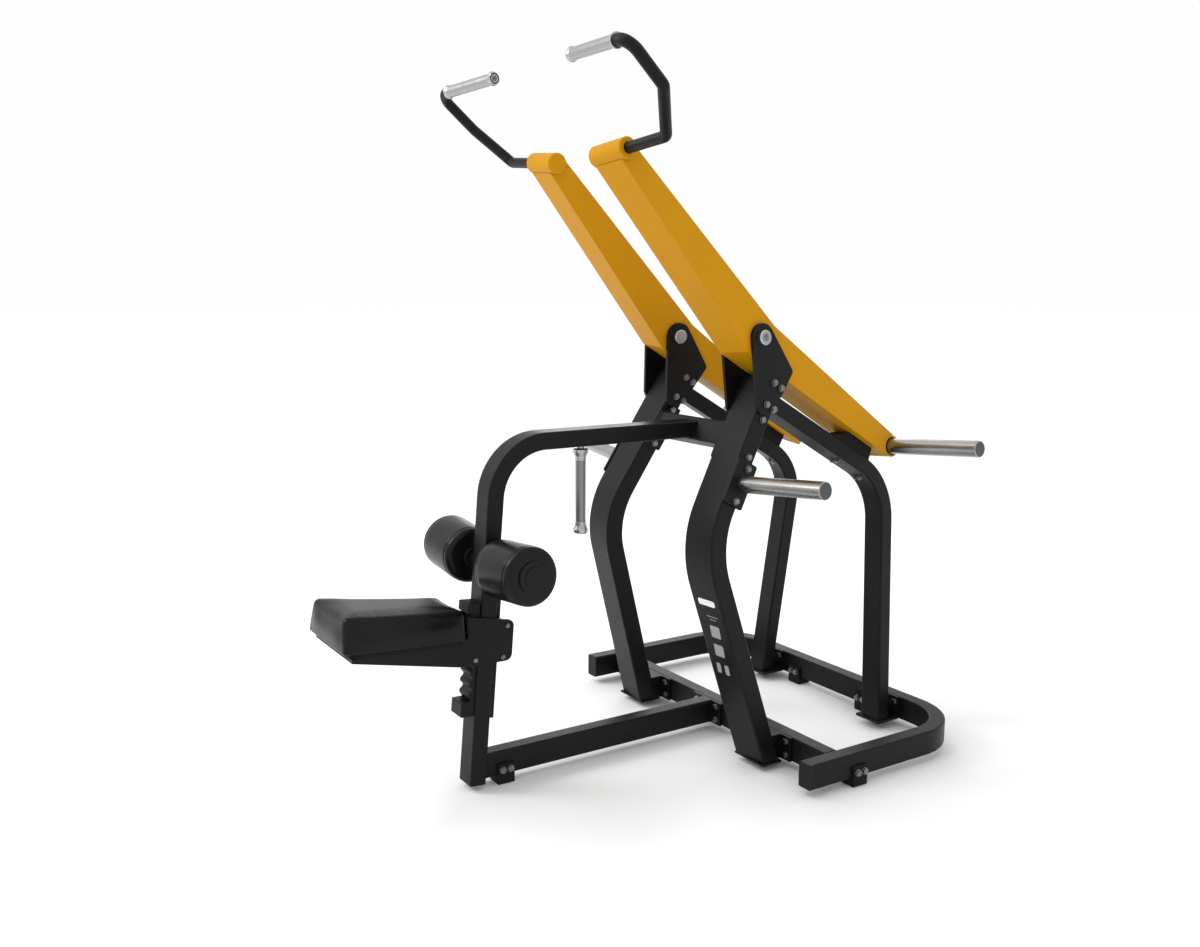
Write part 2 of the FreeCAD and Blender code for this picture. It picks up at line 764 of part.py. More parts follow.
def make_base_u_frame(name):
    """U-shaped floor tube, open to the front."""
    body = new_body(name)
    half = size("frame_width - frame_tube") / 2
    rear = size("frame_rear - frame_tube / 2")
    front = size("frame_front")
    level = "frame_bottom + frame_height / 2"
    path = new_sketch(body, "XY_Plane", offset=level)
    trace(path, [(-half, front), (-half, rear, "frame_bend"), (half, rear, "frame_bend"),
                 (half, front)], closed=False)
    section = new_sketch(body, "XZ_Plane",
                         tilt=Placement(Vector(-half, size(level), -front), Rotation()))
    tube_section(section, "frame_tube", "frame_height")
    DOC.recompute()
    sweep(body, path, section)


def make_cross_beam(name):
    """Cross beam between the two arms of the U."""
    place = Vector(0, size("cross_front + frame_tube / 2"), size("frame_bottom + frame_height / 2"))
    body = new_body(name, Placement(place, Rotation()))
    section = new_sketch(body, "YZ_Plane")
    tube_section(section, "frame_tube", "frame_height")
    pad(body, section, "frame_width - 2 * frame_tube", midplane=True)


def mast_rear(level):
    """Rear face of the seat mast at a height."""
    slope = size("mast_slope")
    return size("mast_foot_y") + slope * level + size("mast_depth") * math.hypot(1, slope)


def make_centre_beam(name):
    """Centre beam from the seat mast to a bolted flange on the cross beam."""
    body = new_body(name)
    level = size("frame_bottom + frame_height / 2")
    end = size("cross_front - flange_thick")
    centre = Placement(Vector(0, level, -end), Rotation())
    section = new_sketch(body, "XZ_Plane", tilt=centre)
    tube_section(section, "frame_tube", "frame_height")
    pad(body, section, end - mast_rear(0) + 10)
    trim_to_line(body, ((mast_rear(level), level), (size("mast_slope"), 1)), 1)
    flange = new_sketch(body, "XZ_Plane", tilt=centre)
    rectangle(flange, 140, "frame_height")
    pad(body, flange, "flange_thick", backward=True)


def box(name, corner, opposite, placement=None):
    """A box between two opposite corners, in an optional frame."""
    solid = DOC.addObject("Part::Box", name)
    low = Vector(*[min(pair) for pair in zip(corner, opposite)])
    high = Vector(*[max(pair) for pair in zip(corner, opposite)])
    solid.Length = high.x - low.x
    solid.Width = high.y - low.y
    solid.Height = high.z - low.z
    local = Placement(low, Rotation())
    solid.Placement = placement.multiply(local) if placement is not None else local
    return solid


def cut(name, base, tool):
    """A boolean cut."""
    feature = DOC.addObject("Part::Cut", name)
    feature.Base = base
    feature.Tool = tool
    DOC.recompute()
    return feature


def fuse(name, shapes):
    """Several touching solids joined into one sub-part."""
    feature = DOC.addObject("Part::MultiFuse", name)
    feature.Shapes = shapes
    feature.Refine = True
    DOC.recompute()
    return feature


def finish_piece(feature, name):
    """Label a finished feature and add it to the sub-parts."""
    feature.Label = name
    PIECES.append(feature)


def make_upright_foot(name, side):
    """Foot of an upright: bottom plate, short stub and the flange on the cross beam."""
    low = size("frame_bottom")
    high = low + size("frame_height")
    face = size("cross_front")
    thick = size("flange_thick")
    angle = math.degrees(math.atan(0.290))
    rear_face = offset_line(UPRIGHT_LOWER_FRONT, -size("upright_depth"))
    plane = side_placement(side, (0, *rear_face[0]), Rotation(Vector(1, 0, 0), angle))
    stub = box(name + "_stub", (251 * side, 270, low), (359 * side, face - thick, high))
    clear = box(name + "_clear", (-200, -200, -200), (200, 0, 200), plane)
    flange = box(name + "_flange", (207 * side, face - thick, low), (403 * side, face, high))
    plate = box(name + "_plate", (248 * side, 256, low - 5), (378 * side, 330, low))
    trimmed = cut(name + "_trimmed", stub, clear)
    finish_piece(fuse(name, [trimmed, flange, plate]), name)


def make_rear_post_foot(name, side):
    """Foot of a rear post: a flat plate and a flange on the rear floor tube."""
    body = new_body(name, Placement(Vector(281 * side, 0, 0), Rotation()))
    low = size("frame_bottom")
    high = low + size("frame_height")
    thick = size("flange_thick")
    rear = size("frame_rear - frame_tube")
    sketch = new_sketch(body, "YZ_Plane")
    trace(sketch, [(rear - 94, low), (rear, low), (rear, high, 1), (rear - thick, high, 1),
                   (rear - thick, low + thick), (rear - 94, low + thick)])
    pad(body, sketch, 98, midplane=True)


def make_tube_end_caps(name):
    """Plastic caps on the U's two front ends and under the seat mast."""
    cap = DOC.addObject("PartDesign::Body", name + "_master")
    sketch = new_sketch(cap, "XY_Plane")
    half_w = size("frame_height") / 2
    half_h = size("frame_tube") / 2
    trace(sketch, [(-half_w, -half_h, "tube_round"), (half_w, -half_h, "tube_round"),
                   (half_w, half_h, "tube_round"), (-half_w, half_h, "tube_round")])
    pad(cap, sketch, 5)
    half = size("frame_width - frame_tube") / 2
    level = size("frame_bottom + frame_height / 2")
    facing = Rotation(Vector(1, 0, 0), 90) * Rotation(Vector(0, 0, 1), 90)
    places = [Placement(Vector(half * side, size("frame_front"), level), facing)
              for _, side in SIDES]
    places.append(mast_placement(0, size("mast_depth") / 2, MAST_END - 5))
    repeated(name, cap, places)


def make_base_feet(name):
    """Five rubber feet: a pad under the tube and a bolted wing beside it."""
    foot = DOC.addObject("PartDesign::Body", name + "_master")
    sketch = new_sketch(foot, "YZ_Plane")
    wing = size("foot_wing")
    top = size("foot_top")
    low = size("frame_bottom")
    trace(sketch, [(-46, 0, 4), (wing, 0, 4), (wing, top, 4), (0, top), (0, low), (-46, low)])
    pad(foot, sketch, "foot_length", midplane=True)
    half = size("frame_width") / 2
    rear = size("frame_rear - frame_tube")
    spots = [(half, 440, -90), (-half, 440, 90), (166, rear, 180), (-166, rear, 180),
             (size("frame_tube") / 2, -416, -90)]
    places = [Placement(Vector(x, y, 0), Rotation(Vector(0, 0, 1), turn_by))
              for x, y, turn_by in spots]
    repeated(name, foot, places)


# ---------------------------------------------------------------------- seat mast

MAST_END = 24        # lower end of the mast along its own axis


def mast_placement(x, back, up, turn_by=None):
    """Placement in the mast's frame: on its front face at floor level, Z along the mast."""
    lean = -math.degrees(math.atan(size("mast_slope")))
    frame = Placement(Vector(0, size("mast_foot_y"), 0), Rotation(Vector(1, 0, 0), lean))
    local = Placement(Vector(x, back, up), turn_by if turn_by is not None else Rotation())
    return frame.multiply(local)


def make_seat_mast(name):
    """Seat mast and gooseneck: one bent tube from the floor to the upper cross member."""
    slope = size("mast_slope")
    half = size("mast_depth") / 2
    front = ((size("mast_foot_y"), 0), (slope, 1))
    axis = offset_line(front, -half)
    top = ((0, size("mast_top") - half), (1, 0))
    corner = meet(axis, top)
    along = math.hypot(slope, 1)
    foot = (axis[0][0] + slope / along * MAST_END, axis[0][1] + MAST_END / along)
    end = (size("member_y"), size("mast_top") - half)
    corners = [foot, (*corner, "mast_bend"), end]
    body = bent_tube(name, Placement(), corners, "mast_width", "mast_depth")
    trim_to_line(body, member_face(), -1)


def member_face():
    """Front face of the upper cross member, a line of the YZ plane pointing up."""
    tilt = math.radians(size("member_tilt"))
    half = size("member_depth") / 2
    point = (size("member_y") - half * math.cos(tilt), size("member_z") + half * math.sin(tilt))
    return point, (math.sin(tilt), math.cos(tilt))


def make_upper_cross_member(name):
    """Upper cross member: a tilted tube with a flange bolted inside each upright."""
    place = Placement(Vector(0, size("member_y"), size("member_z")),
                      Rotation(Vector(1, 0, 0), -size("member_tilt")))
    tube = DOC.addObject("PartDesign::Body", name + "_tube")
    tube.Placement = place
    section = new_sketch(tube, "YZ_Plane")
    tube_section(section, "member_depth", "member_height")
    pad(tube, section, 460, midplane=True)
    shapes = [tube]
    inner = size("upright_width") / 2
    thick = size("flange_thick")
    for word, side in SIDES:
        beyond = box(f"{name}_{word}_beyond", ((-inner - thick) * side, -200, -450),
                     (200 * side, 150, -100), side_placement(side))
        shapes[0] = cut(f"{name}_{word}_cut", shapes[0], beyond)
        flange = slab(f"{name}_{word}_flange", side, member_flange(), "flange_thick",
                      -inner - thick)
        PIECES.remove(flange)
        shapes.append(flange)
    finish_piece(fuse(name, shapes), name)


def make_seat_rack(name):
    """Wavy height rack with a stop block at each end, on the mast's front face."""
    body = new_body(name, mast_placement(0, 0, 0))
    low = 225
    high = 551
    pitch = size("notch_pitch")
    outline = [(0, low), (-42, low, 4), (-42, low + 42, 4), (-11, low + 44)]
    for tooth in range(7):
        crest = low + 44 + pitch * (tooth + 0.5)
        outline += [(-20, crest - 4, 6), (-20, crest + 4, 6), (-11, crest + pitch / 2 - 3, 4),
                    (-11, crest + pitch / 2 + 3, 4)]
    outline = outline[:-2] + [(-11, high - 30), (-38, high - 28, 4), (-38, high, 4), (0, high)]
    sketch = new_sketch(body, "YZ_Plane")
    trace(sketch, outline)
    pad(body, sketch, 60, midplane=True)


def make_guide_rail(name):
    """Guide rail for the seat carriage, on the mast's rear face."""
    body = new_body(name, mast_placement(0, size("mast_depth"), 210))
    sketch = new_sketch(body, "XY_Plane")
    rectangle(sketch, 40, 20, (0, 10))
    pad(body, sketch, 390)
    round_edges(body, 3, lambda edge: edge.Length > 300)


def roller_placement(side, distance):
    """Placement on a roller's axis, at a distance from its inner end, X pointing outwards."""
    rise = math.radians(size("roller_rise"))
    sweep_back = math.radians(size("roller_sweep"))
    along = Vector(math.cos(rise) * math.cos(sweep_back) * side,
                   math.cos(rise) * math.sin(sweep_back), math.sin(rise))
    start = Vector(size("roller_x") * side, size("roller_y"), size("roller_z"))
    return Placement(start + along * distance, Rotation(Vector(1, 0, 0), along))


def make_roller_axle(name, side):
    """Roller axle: a stub with a shoulder, welded to the side of the mast."""
    axle = DOC.addObject("PartDesign::Body", name + "_bar")
    axle.Placement = roller_placement(side, 0)
    rod = size("axle_diameter") / 2
    turn(axle, [(-60, 0), (-60, 18), (-8.5, 18), (-8.5, rod), (183, rod), (183, 0)])
    half = size("mast_width") / 2
    inside = box(name + "_mast", (-half, -600, 500), (half, -300, 800))
    finish_piece(cut(name, axle, inside), name)


def make_roller_hub(name, side):
    """Hub tube inside a roller, with an inner flange and the outer end disc."""
    body = new_body(name, roller_placement(side, 0))
    bore = size("hub_bore") / 2
    tube = size("hub_diameter") / 2
    disc = size("disc_diameter") / 2
    length = size("roller_length")
    turn(body, [(-8, bore), (-8, 28), (-6, 30), (0, 30), (0, tube), (length, tube),
                (length, disc), (length + 4, disc), (length + 6, disc - 3), (length + 6, 0),
                (length + 2, 0), (length + 2, bore)])


def make_roller_foam(name, side):
    """Foam roller on its hub."""
    body = new_body(name, roller_placement(side, 0))
    outer = size("roller_diameter") / 2
    length = size("roller_length")
    hub = size("hub_diameter") / 2
    turn(body, [(0, hub), (0, outer, 16), (length, outer, 16), (length, hub)])


def hand_placement(level):
    """Placement on the centre handle's axis at a height, X pointing up."""
    return Placement(Vector(0, size("hand_y"), level), Rotation(Vector(0, 1, 0), -90))


def make_centre_grip(name):
    """Tube of the fixed centre handle."""
    body = new_body(name, hand_placement(size("hand_low")))
    outer = size("hand_diameter") / 2
    length = size("hand_high - hand_low")
    turn(body, [(0, 0), (0, outer), (length, outer), (length, 0)])


def make_centre_grip_knobs(name):
    """Flared ends of the centre handle; the upper one carries it below the gooseneck."""
    tube = size("hand_diameter") / 2
    flare = size("knob_diameter") / 2
    shapes = []
    stub = size("mast_top - mast_depth - hand_high")
    spots = ((size("hand_low"), -1, [(32, flare), (36, flare - 4), (36, 0)]),
             (size("hand_high"), 1, [(32, flare), (36, flare - 4), (36, 11), (stub, 11), (stub, 0)]))
    for level, up, tail in spots:
        knob = DOC.addObject("PartDesign::Body", f"{name}_{'upper' if up > 0 else 'lower'}")
        knob.Placement = hand_placement(level)
        outline = [(0, 0), (0, tube + 1), (12, tube + 2), (24, flare)] + tail
        turn(knob, mirrored(up, outline))
        shapes.append(knob.Shape)
    compound(name, shapes)


# ---------------------------------------------------------------------- seat

TRAY_TOP = 456        # seat board's underside along the mast
SEAT_REAR = -74       # rear end of the cushion in front of the mast
SEAT_FRONT = -434   # front end of the cushion


def carriage_side(side):
    """Inner face of a carriage plate."""
    return (size("mast_width") / 2 + size("slide_gap")) * side


def make_carriage_plate(name, side):
    """Side plate of the seat carriage."""
    body = new_body(name, mast_placement(0, 0, 0))
    inner = size("mast_width / 2 + slide_gap")
    start = inner if side > 0 else -inner - size("carriage_plate")
    sketch = new_sketch(body, "YZ_Plane", offset=start)
    trace(sketch, [(-41, 375), (101, 385, 20), (101, 501, 20), (-41, 517)])
    pad(body, sketch, "carriage_plate")


def make_carriage_rollers(name):
    """Two guide rollers behind the rail, between the carriage plates."""
    master = DOC.addObject("PartDesign::Body", name + "_master")
    half = size("mast_width / 2 + slide_gap")
    turn(master, [(-half, 0), (-half, 15), (half, 15), (half, 0)])
    back = size("mast_depth") + 20 + 15.3
    repeated(name, master, [mast_placement(0, back, up) for up in (410, 478)])


def loft(body, first, second, cutting=False):
    """Loft, or cut away the loft, between two sketches."""
    kind = "PartDesign::SubtractiveLoft" if cutting else "PartDesign::AdditiveLoft"
    feature = body.newObject(kind, body.Name + ("_hollow" if cutting else "_loft"))
    feature.Profile = first
    feature.Sections = [second]
    feature.Ruled = True
    DOC.recompute()
    return feature


def section_at(body, back, corners):
    """A sketch across the body at a local Y."""
    sketch = new_sketch(body, "XZ_Plane", offset=-back)
    trace(sketch, corners)
    return sketch


def make_seat_tray(name):
    """Folded tray under the seat: narrow and deep at the carriage, wide and shallow in front."""
    body = new_body(name, mast_placement(0, 0, 0))
    rear_half = carriage_side(1) + size("carriage_plate")
    ends = ((-41, rear_half, 375), (-411, 135, 446))
    wall = size("tray_wall")
    outer = []
    inner = []
    for back, half, low in ends:
        outer.append(section_at(body, back, [(-half, low), (half, low), (half, TRAY_TOP),
                                             (-half, TRAY_TOP)]))
        inset = back + (wall if back < -100 else -wall)
        slim = half - wall
        inner.append(section_at(body, inset, [(-slim, low + wall), (slim, low + wall),
                                              (slim, TRAY_TOP + 1), (-slim, TRAY_TOP + 1)]))
    loft(body, outer[0], outer[1])
    loft(body, inner[0], inner[1], cutting=True)


def make_seat_board(name):
    """Seat board on the tray."""
    body = new_body(name, mast_placement(0, 0, TRAY_TOP))
    sketch = new_sketch(body, "XY_Plane")
    trace(sketch, [(-99, SEAT_REAR - 6, 10), (99, SEAT_REAR - 6, 10), (132, SEAT_FRONT + 20, 14),
                   (-132, SEAT_FRONT + 20, 14)])
    pad(body, sketch, "board_thick")


def seat_level(edge):
    """Height up the mast of an edge's upper end."""
    into_seat = mast_placement(0, 0, 0).inverse()
    return max(into_seat.multVec(vertex.Point).z for vertex in edge.Vertexes)


def make_seat_cushion(name):
    """Seat cushion: wider and thicker to the front, its sides leaning in to the top."""
    body = new_body(name, mast_placement(0, 0, 0))
    low = TRAY_TOP + size("board_thick")
    rear = section_at(body, SEAT_REAR, [(-106, low), (106, low), (90, 549), (-90, 549)])
    front = section_at(body, SEAT_FRONT, [(-142, low), (142, low), (122, 562), (-122, 562)])
    loft(body, rear, front)
    round_edges(body, 14, lambda edge: seat_level(edge) > low + 1)
    round_edges(body, 4, lambda edge: seat_level(edge) < low + 1)


# ---------------------------------------------------------------------- fasteners

def bolt_master(name, flats, height, across):
    """Hexagon bolt head on a washer, standing on the XY plane."""
    head = DOC.addObject("Part::Prism", name + "_hexagon")
    head.Polygon = 6
    head.Circumradius = size(flats) / 2 / math.cos(math.radians(30))
    head.Height = size(height)
    lift = size("washer_thick")
    head.Placement = Placement(Vector(0, 0, lift), Rotation())
    cone = DOC.addObject("Part::Cone", name + "_bevel")
    cone.Radius1 = size(flats) / 2 + size(height) * 1.2
    cone.Radius2 = size(flats) / 2 - 0.4
    cone.Height = size(height)
    cone.Placement = head.Placement
    bevelled = DOC.addObject("Part::Common", name + "_head")
    bevelled.Base = head
    bevelled.Tool = cone
    washer = DOC.addObject("Part::Cylinder", name + "_washer")
    washer.Radius = size(across) / 2
    washer.Height = lift
    return fuse(name, [bevelled, washer])


def facing(point, normal):
    """Placement of a bolt head on a face."""
    return Placement(Vector(*point), Rotation(Vector(0, 0, 1), Vector(*normal)))


def side_bolts(side):
    """Bolt heads of one side frame."""
    plate_face = size("upright_width") / 2 + size("plate_thick")
    inner = size("upright_width") / 2
    thick = size("flange_thick")
    spots = []
    for centre in UPRIGHT_BOLTS:
        spots += [(plate_face, centre, 1), (-plate_face, centre, -1)]
    for centre in MEMBER_BOLTS:
        spots += [(inner, centre, 1), (-inner - thick, centre, -1)]
    for centre in STORAGE_BOLTS:
        spots.append((inner + thick, centre, 1))
    return [side_placement(side, (across * side, *centre),
                           Rotation(Vector(0, 0, 1), Vector(out * side, 0, 0)))
            for across, centre, out in spots]


def make_frame_bolts(name, master):
    """All bolt heads of the frame."""
    places = []
    flange = size("cross_front - flange_thick")
    rear = size("frame_rear - frame_tube")
    for _, side in SIDES:
        places += side_bolts(side)
        for x in (228, 383):
            places += [facing((x * side, flange, z), (0, -1, 0)) for z in (42, 84)]
        places += [facing((x * side, rear - size("flange_thick"), 82), (0, -1, 0))
                   for x in (246, 316)]
        places += [facing((48 * side, flange, z), (0, -1, 0)) for z in (42, 84)]
        wing = size("frame_width") / 2 + size("foot_wing")
        places += [facing((wing * side, y, 44), (side, 0, 0)) for y in (427, 453)]
        places += [facing(((166 + x) * side, rear - size("foot_wing"), 44), (0, -1, 0))
                   for x in (-13, 13)]
    wing = size("frame_tube") / 2 + size("foot_wing")
    places += [facing((wing, y, 44), (1, 0, 0)) for y in (-429, -403)]
    repeated(name, master, places)


def make_carriage_bolts(name, master):
    """Bolt heads on the carriage plates."""
    face = carriage_side(1) + size("carriage_plate")
    places = []
    for _, side in SIDES:
        places += [mast_placement(face * side, back, up,
                                  Rotation(Vector(0, 0, 1), Vector(side, 0, 0)))
                   for back, up in ((80, 486), (72, 396), (-14, 394))]
    repeated(name, master, places)


def make_bumper(name, side):
    """Rubber bumper on the sloping tube, just below the resting arm."""
    outline = arm_outline()
    start = outline[1]
    rest = offset_line((start, unit(start, outline[2])), -0.5)
    foot = (SLOPE_TOP[0], SLOPE_TOP[1])
    low_front = meet(foot, ((318, 0), (0, 1)))
    low_rear = meet(foot, ((474, 0), (0, 1)))
    high_front = meet(rest, ((390, 0), (0, 1)))
    high_rear = meet(rest, ((490, 0), (0, 1)))
    slab(name, side, [low_front, low_rear, high_rear, high_front], 64, -32)


# ---------------------------------------------------------------------- build

def build():
    """Make every sub-part."""
    make_base_u_frame("base_u_frame")
    make_cross_beam("base_cross_beam")
    make_centre_beam("base_centre_beam")
    make_tube_end_caps("tube_end_caps")
    make_base_feet("base_feet")
    make_seat_mast("seat_mast")
    make_upper_cross_member("upper_cross_member")
    make_seat_rack("seat_rack")
    make_guide_rail("guide_rail")
    make_centre_grip("centre_grip")
    make_centre_grip_knobs("centre_grip_knobs")
    inner = -size("upright_width") / 2 - size("plate_thick")
    outer = size("upright_width") / 2
    for word, side in SIDES:
        make_upright(f"upright_{word}", side)
        make_upright_foot(f"upright_foot_{word}", side)
        make_rear_post(f"rear_post_{word}", side)
        make_rear_post_foot(f"rear_post_foot_{word}", side)
        make_pivot_plate(f"pivot_plate_outer_{word}", side, outer)
        make_pivot_plate(f"pivot_plate_inner_{word}", side, inner)
        make_pivot_shaft(f"pivot_shaft_{word}", side)
        make_bumper(f"bumper_{word}", side)
        make_storage_bracket(f"storage_bracket_{word}", side)
        make_storage_horn(f"storage_horn_{word}", side, outer + size("flange_thick"))
        make_roller_axle(f"roller_axle_{word}", side)
        make_roller_hub(f"roller_hub_{word}", side)
        make_roller_foam(f"roller_foam_{word}", side)
        make_arm_shell(f"arm_shell_{word}", side)
        make_arm_cover(f"arm_cover_{word}", side)
        make_barrel(f"arm_barrel_{word}", side)
        make_handle_tube(f"handle_tube_{word}", side)
        make_grip_sleeve(f"grip_sleeve_{word}", side)
        make_grip_collars(f"grip_collars_{word}", side)
        make_loading_horn(f"loading_horn_{word}", side)
        make_carriage_plate(f"carriage_plate_{word}", side)
    make_carriage_rollers("carriage_rollers")
    make_seat_tray("seat_tray")
    make_seat_board("seat_board")
    make_seat_cushion("seat_cushion")
    master = bolt_master("bolt_master", "bolt_flats", "bolt_head", "washer_diameter")
    make_frame_bolts("frame_bolts", master)
    small = bolt_master("small_bolt_master", "small_flats", "small_head", "small_washer")
    make_carriage_bolts("carriage_bolts", small)


def check():
    """Stop if any object failed or any sub-part is not a valid solid."""
    for item in DOC.Objects:
        if {"Invalid", "Error"} & set(item.State):
            raise ValueError(f"{item.Name}: {item.State}")
    for piece in PIECES:
        shape = piece.Shape
        if shape.isNull() or not shape.isValid() or not shape.Solids:
            raise ValueError(f"{piece.Label}: not a valid solid")


def export():
    """Write each sub-part to parts/NAME.step."""
    os.makedirs("parts", exist_ok=True)
    for piece in PIECES:
        piece.Shape.exportStep(f"parts/{piece.Label}.step")


build()
DOC.recompute()
check()
export()
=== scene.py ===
import json
import math

import bmesh
import bpy
from mathutils import Matrix, Vector


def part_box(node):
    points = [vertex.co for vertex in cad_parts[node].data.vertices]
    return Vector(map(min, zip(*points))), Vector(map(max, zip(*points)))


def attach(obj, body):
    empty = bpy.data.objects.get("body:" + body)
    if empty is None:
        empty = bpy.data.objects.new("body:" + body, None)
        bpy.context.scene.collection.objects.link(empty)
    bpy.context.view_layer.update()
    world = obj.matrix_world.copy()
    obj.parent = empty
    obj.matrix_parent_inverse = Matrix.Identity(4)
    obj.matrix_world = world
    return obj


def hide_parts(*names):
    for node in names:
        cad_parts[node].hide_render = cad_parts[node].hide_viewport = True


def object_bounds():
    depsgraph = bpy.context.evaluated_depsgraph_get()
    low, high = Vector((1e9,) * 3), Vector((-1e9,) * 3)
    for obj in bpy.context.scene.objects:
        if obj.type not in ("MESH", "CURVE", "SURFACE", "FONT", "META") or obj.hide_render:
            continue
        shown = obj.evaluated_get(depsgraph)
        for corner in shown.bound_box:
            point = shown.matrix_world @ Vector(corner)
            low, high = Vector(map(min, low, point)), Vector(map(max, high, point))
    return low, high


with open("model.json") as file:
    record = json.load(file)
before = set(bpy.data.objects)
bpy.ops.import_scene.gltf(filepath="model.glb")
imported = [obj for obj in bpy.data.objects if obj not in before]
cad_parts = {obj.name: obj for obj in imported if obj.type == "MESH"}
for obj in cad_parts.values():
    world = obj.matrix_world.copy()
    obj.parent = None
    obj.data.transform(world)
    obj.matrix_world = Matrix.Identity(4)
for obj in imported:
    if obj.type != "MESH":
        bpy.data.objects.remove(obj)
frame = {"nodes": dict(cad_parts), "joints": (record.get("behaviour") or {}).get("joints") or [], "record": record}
CAD_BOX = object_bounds()
NODES = frame["nodes"]
JOINTS = {joint["name"]: joint for joint in frame["joints"]}
SIDES = ("right", "left")

# lengths in metres, angles in degrees, powers in watts
KNURL_RIDGES = 48
CUSHION_VOXEL = 0.0045
CUSHION_INSET = 0.0008
CUSHION_PRESSURE = 4.0
CUSHION_SWELL = 0.006
CUSHION_SOLE = 0.005
CLOTH_FRAMES = 20
EVENING_PASSES = 24
ROLLER_SHOULDER = 0.017
ROLLER_SEAM_ANGLE = 205
BADGE_HEIGHT = 0.520
FILM_HEIGHT = 0.382
FILM_THICK = 0.0004
FLOOR_SIZE = 60.0
FLOOR_GAP = 0.0005
WORLD_STRENGTH = 0.99
CAMERA_PLACE = (2.829, -1.9013, 1.4367)
CAMERA_YAW = 57.19
CAMERA_PITCH = -9.44
CAMERA_ROLL = 0.24
CAMERA_LENS = 34.62


# ------------------------------------------------------------------ shader nodes

def add(tree, kind, inputs=None, **settings):
    """One shader node: its settings, and its inputs set or linked."""
    node = tree.nodes.new(kind)
    for key, value in settings.items():
        setattr(node, key, value)
    for socket, value in (inputs or {}).items():
        if isinstance(value, bpy.types.NodeSocket):
            tree.links.new(value, node.inputs[socket])
        else:
            node.inputs[socket].default_value = value
    return node


def colour(red, green, blue):
    """A linear colour as four numbers."""
    return (red, green, blue, 1.0)


def noise(tree, place, scale, detail=3.0, roughness=0.55):
    """Noise from 0 to 1 over a place, its scale in waves a metre."""
    return add(tree, "ShaderNodeTexNoise", {"Vector": place, "Scale": scale, "Detail": detail,
                                            "Roughness": roughness}).outputs["Fac"]


def fit(tree, value, low, high, start, end):
    """A value from low..high mapped to start..end, held at both ends."""
    return add(tree, "ShaderNodeMapRange", {"Value": value, "From Min": low, "From Max": high,
                                            "To Min": start, "To Max": end}).outputs["Result"]


def maths(tree, operation, first, second=0.0):
    """One sum on one or two values."""
    return add(tree, "ShaderNodeMath", {0: first, 1: second}, operation=operation).outputs[0]


def mix(tree, factor, first, second):
    """Two colours mixed by a factor."""
    return add(tree, "ShaderNodeMix", {0: factor, 6: first, 7: second},
               data_type="RGBA").outputs[2]


def stretched(tree, place, x, y, z):
    """A place scaled on each axis."""
    return add(tree, "ShaderNodeVectorMath", {0: place, 1: (x, y, z)},
               operation="MULTIPLY").outputs["Vector"]


def along(tree, place, centre, axis):
    """Distance of a place from a centre along an axis."""
    offset = add(tree, "ShaderNodeVectorMath", {0: place, 1: tuple(centre)},
                 operation="SUBTRACT").outputs["Vector"]
    return add(tree, "ShaderNodeVectorMath", {0: offset, 1: tuple(axis)},
               operation="DOT_PRODUCT").outputs["Value"]


def soft_edges(tree, radius):
    """The normal with its edges rounded."""
    return add(tree, "ShaderNodeBevel", {"Radius": radius}, samples=6).outputs["Normal"]


def edge_wear(tree, rounded):
    """How near a place is to an edge, 0 to 1, from the rounded normal."""
    face = add(tree, "ShaderNodeNewGeometry").outputs["Normal"]
    flat = add(tree, "ShaderNodeVectorMath", {0: rounded, 1: face},
               operation="DOT_PRODUCT").outputs["Value"]
    return fit(tree, flat, 0.99, 0.8, 0.0, 1.0)


def bump(tree, height, strength, distance, normal=None):
    """A bumped normal from a height."""
    inputs = {"Height": height, "Strength": strength, "Distance": distance}
    if normal is not None:
        inputs["Normal"] = normal
    return add(tree, "ShaderNodeBump", inputs).outputs["Normal"]


def start_finish(name, **sockets):
    """A new material: (material, tree, shader, object coordinates), with fixed sockets set."""
    material = bpy.data.materials.new(name)
    material.use_nodes = True
    tree = material.node_tree
    shader = tree.nodes["Principled BSDF"]
    for socket, value in sockets.items():
        shader.inputs[socket.replace("_", " ")].default_value = value
    place = add(tree, "ShaderNodeTexCoord").outputs["Object"]
    return material, tree, shader, place


def wire(tree, shader, base, roughness, normal):
    """Connect a shader's colour, roughness and normal."""
    tree.links.new(base, shader.inputs["Base Color"])
    tree.links.new(roughness, shader.inputs["Roughness"])
    tree.links.new(normal, shader.inputs["Normal"])


# ------------------------------------------------------------------ finishes

def powder_coat(name, dark, light, worn, roughness, gloss_level):
    """Powder coat: cloudy colour, fine orange peel, edges rubbed lighter."""
    material, tree, shader, place = start_finish(name, Specular_IOR_Level=gloss_level)
    rounded = soft_edges(tree, 0.0016)
    edge = edge_wear(tree, rounded)
    cloud = noise(tree, place, 4.0, 5.0, 0.6)
    grime = noise(tree, place, 45.0, 4.0)
    peel = noise(tree, place, 850.0, 2.0, 0.4)
    rub = maths(tree, "MULTIPLY", edge, fit(tree, grime, 0.4, 0.75, 0.15, 0.9))
    base = mix(tree, fit(tree, cloud, 0.3, 0.7, 0.0, 1.0), dark, light)
    base = mix(tree, rub, base, worn)
    gloss = maths(tree, "ADD", fit(tree, cloud, 0.3, 0.7, roughness - 0.04, roughness + 0.05),
                  fit(tree, grime, 0.3, 0.8, -0.03, 0.05))
    wire(tree, shader, base, gloss, bump(tree, peel, 0.22, 0.0004, rounded))
    return material


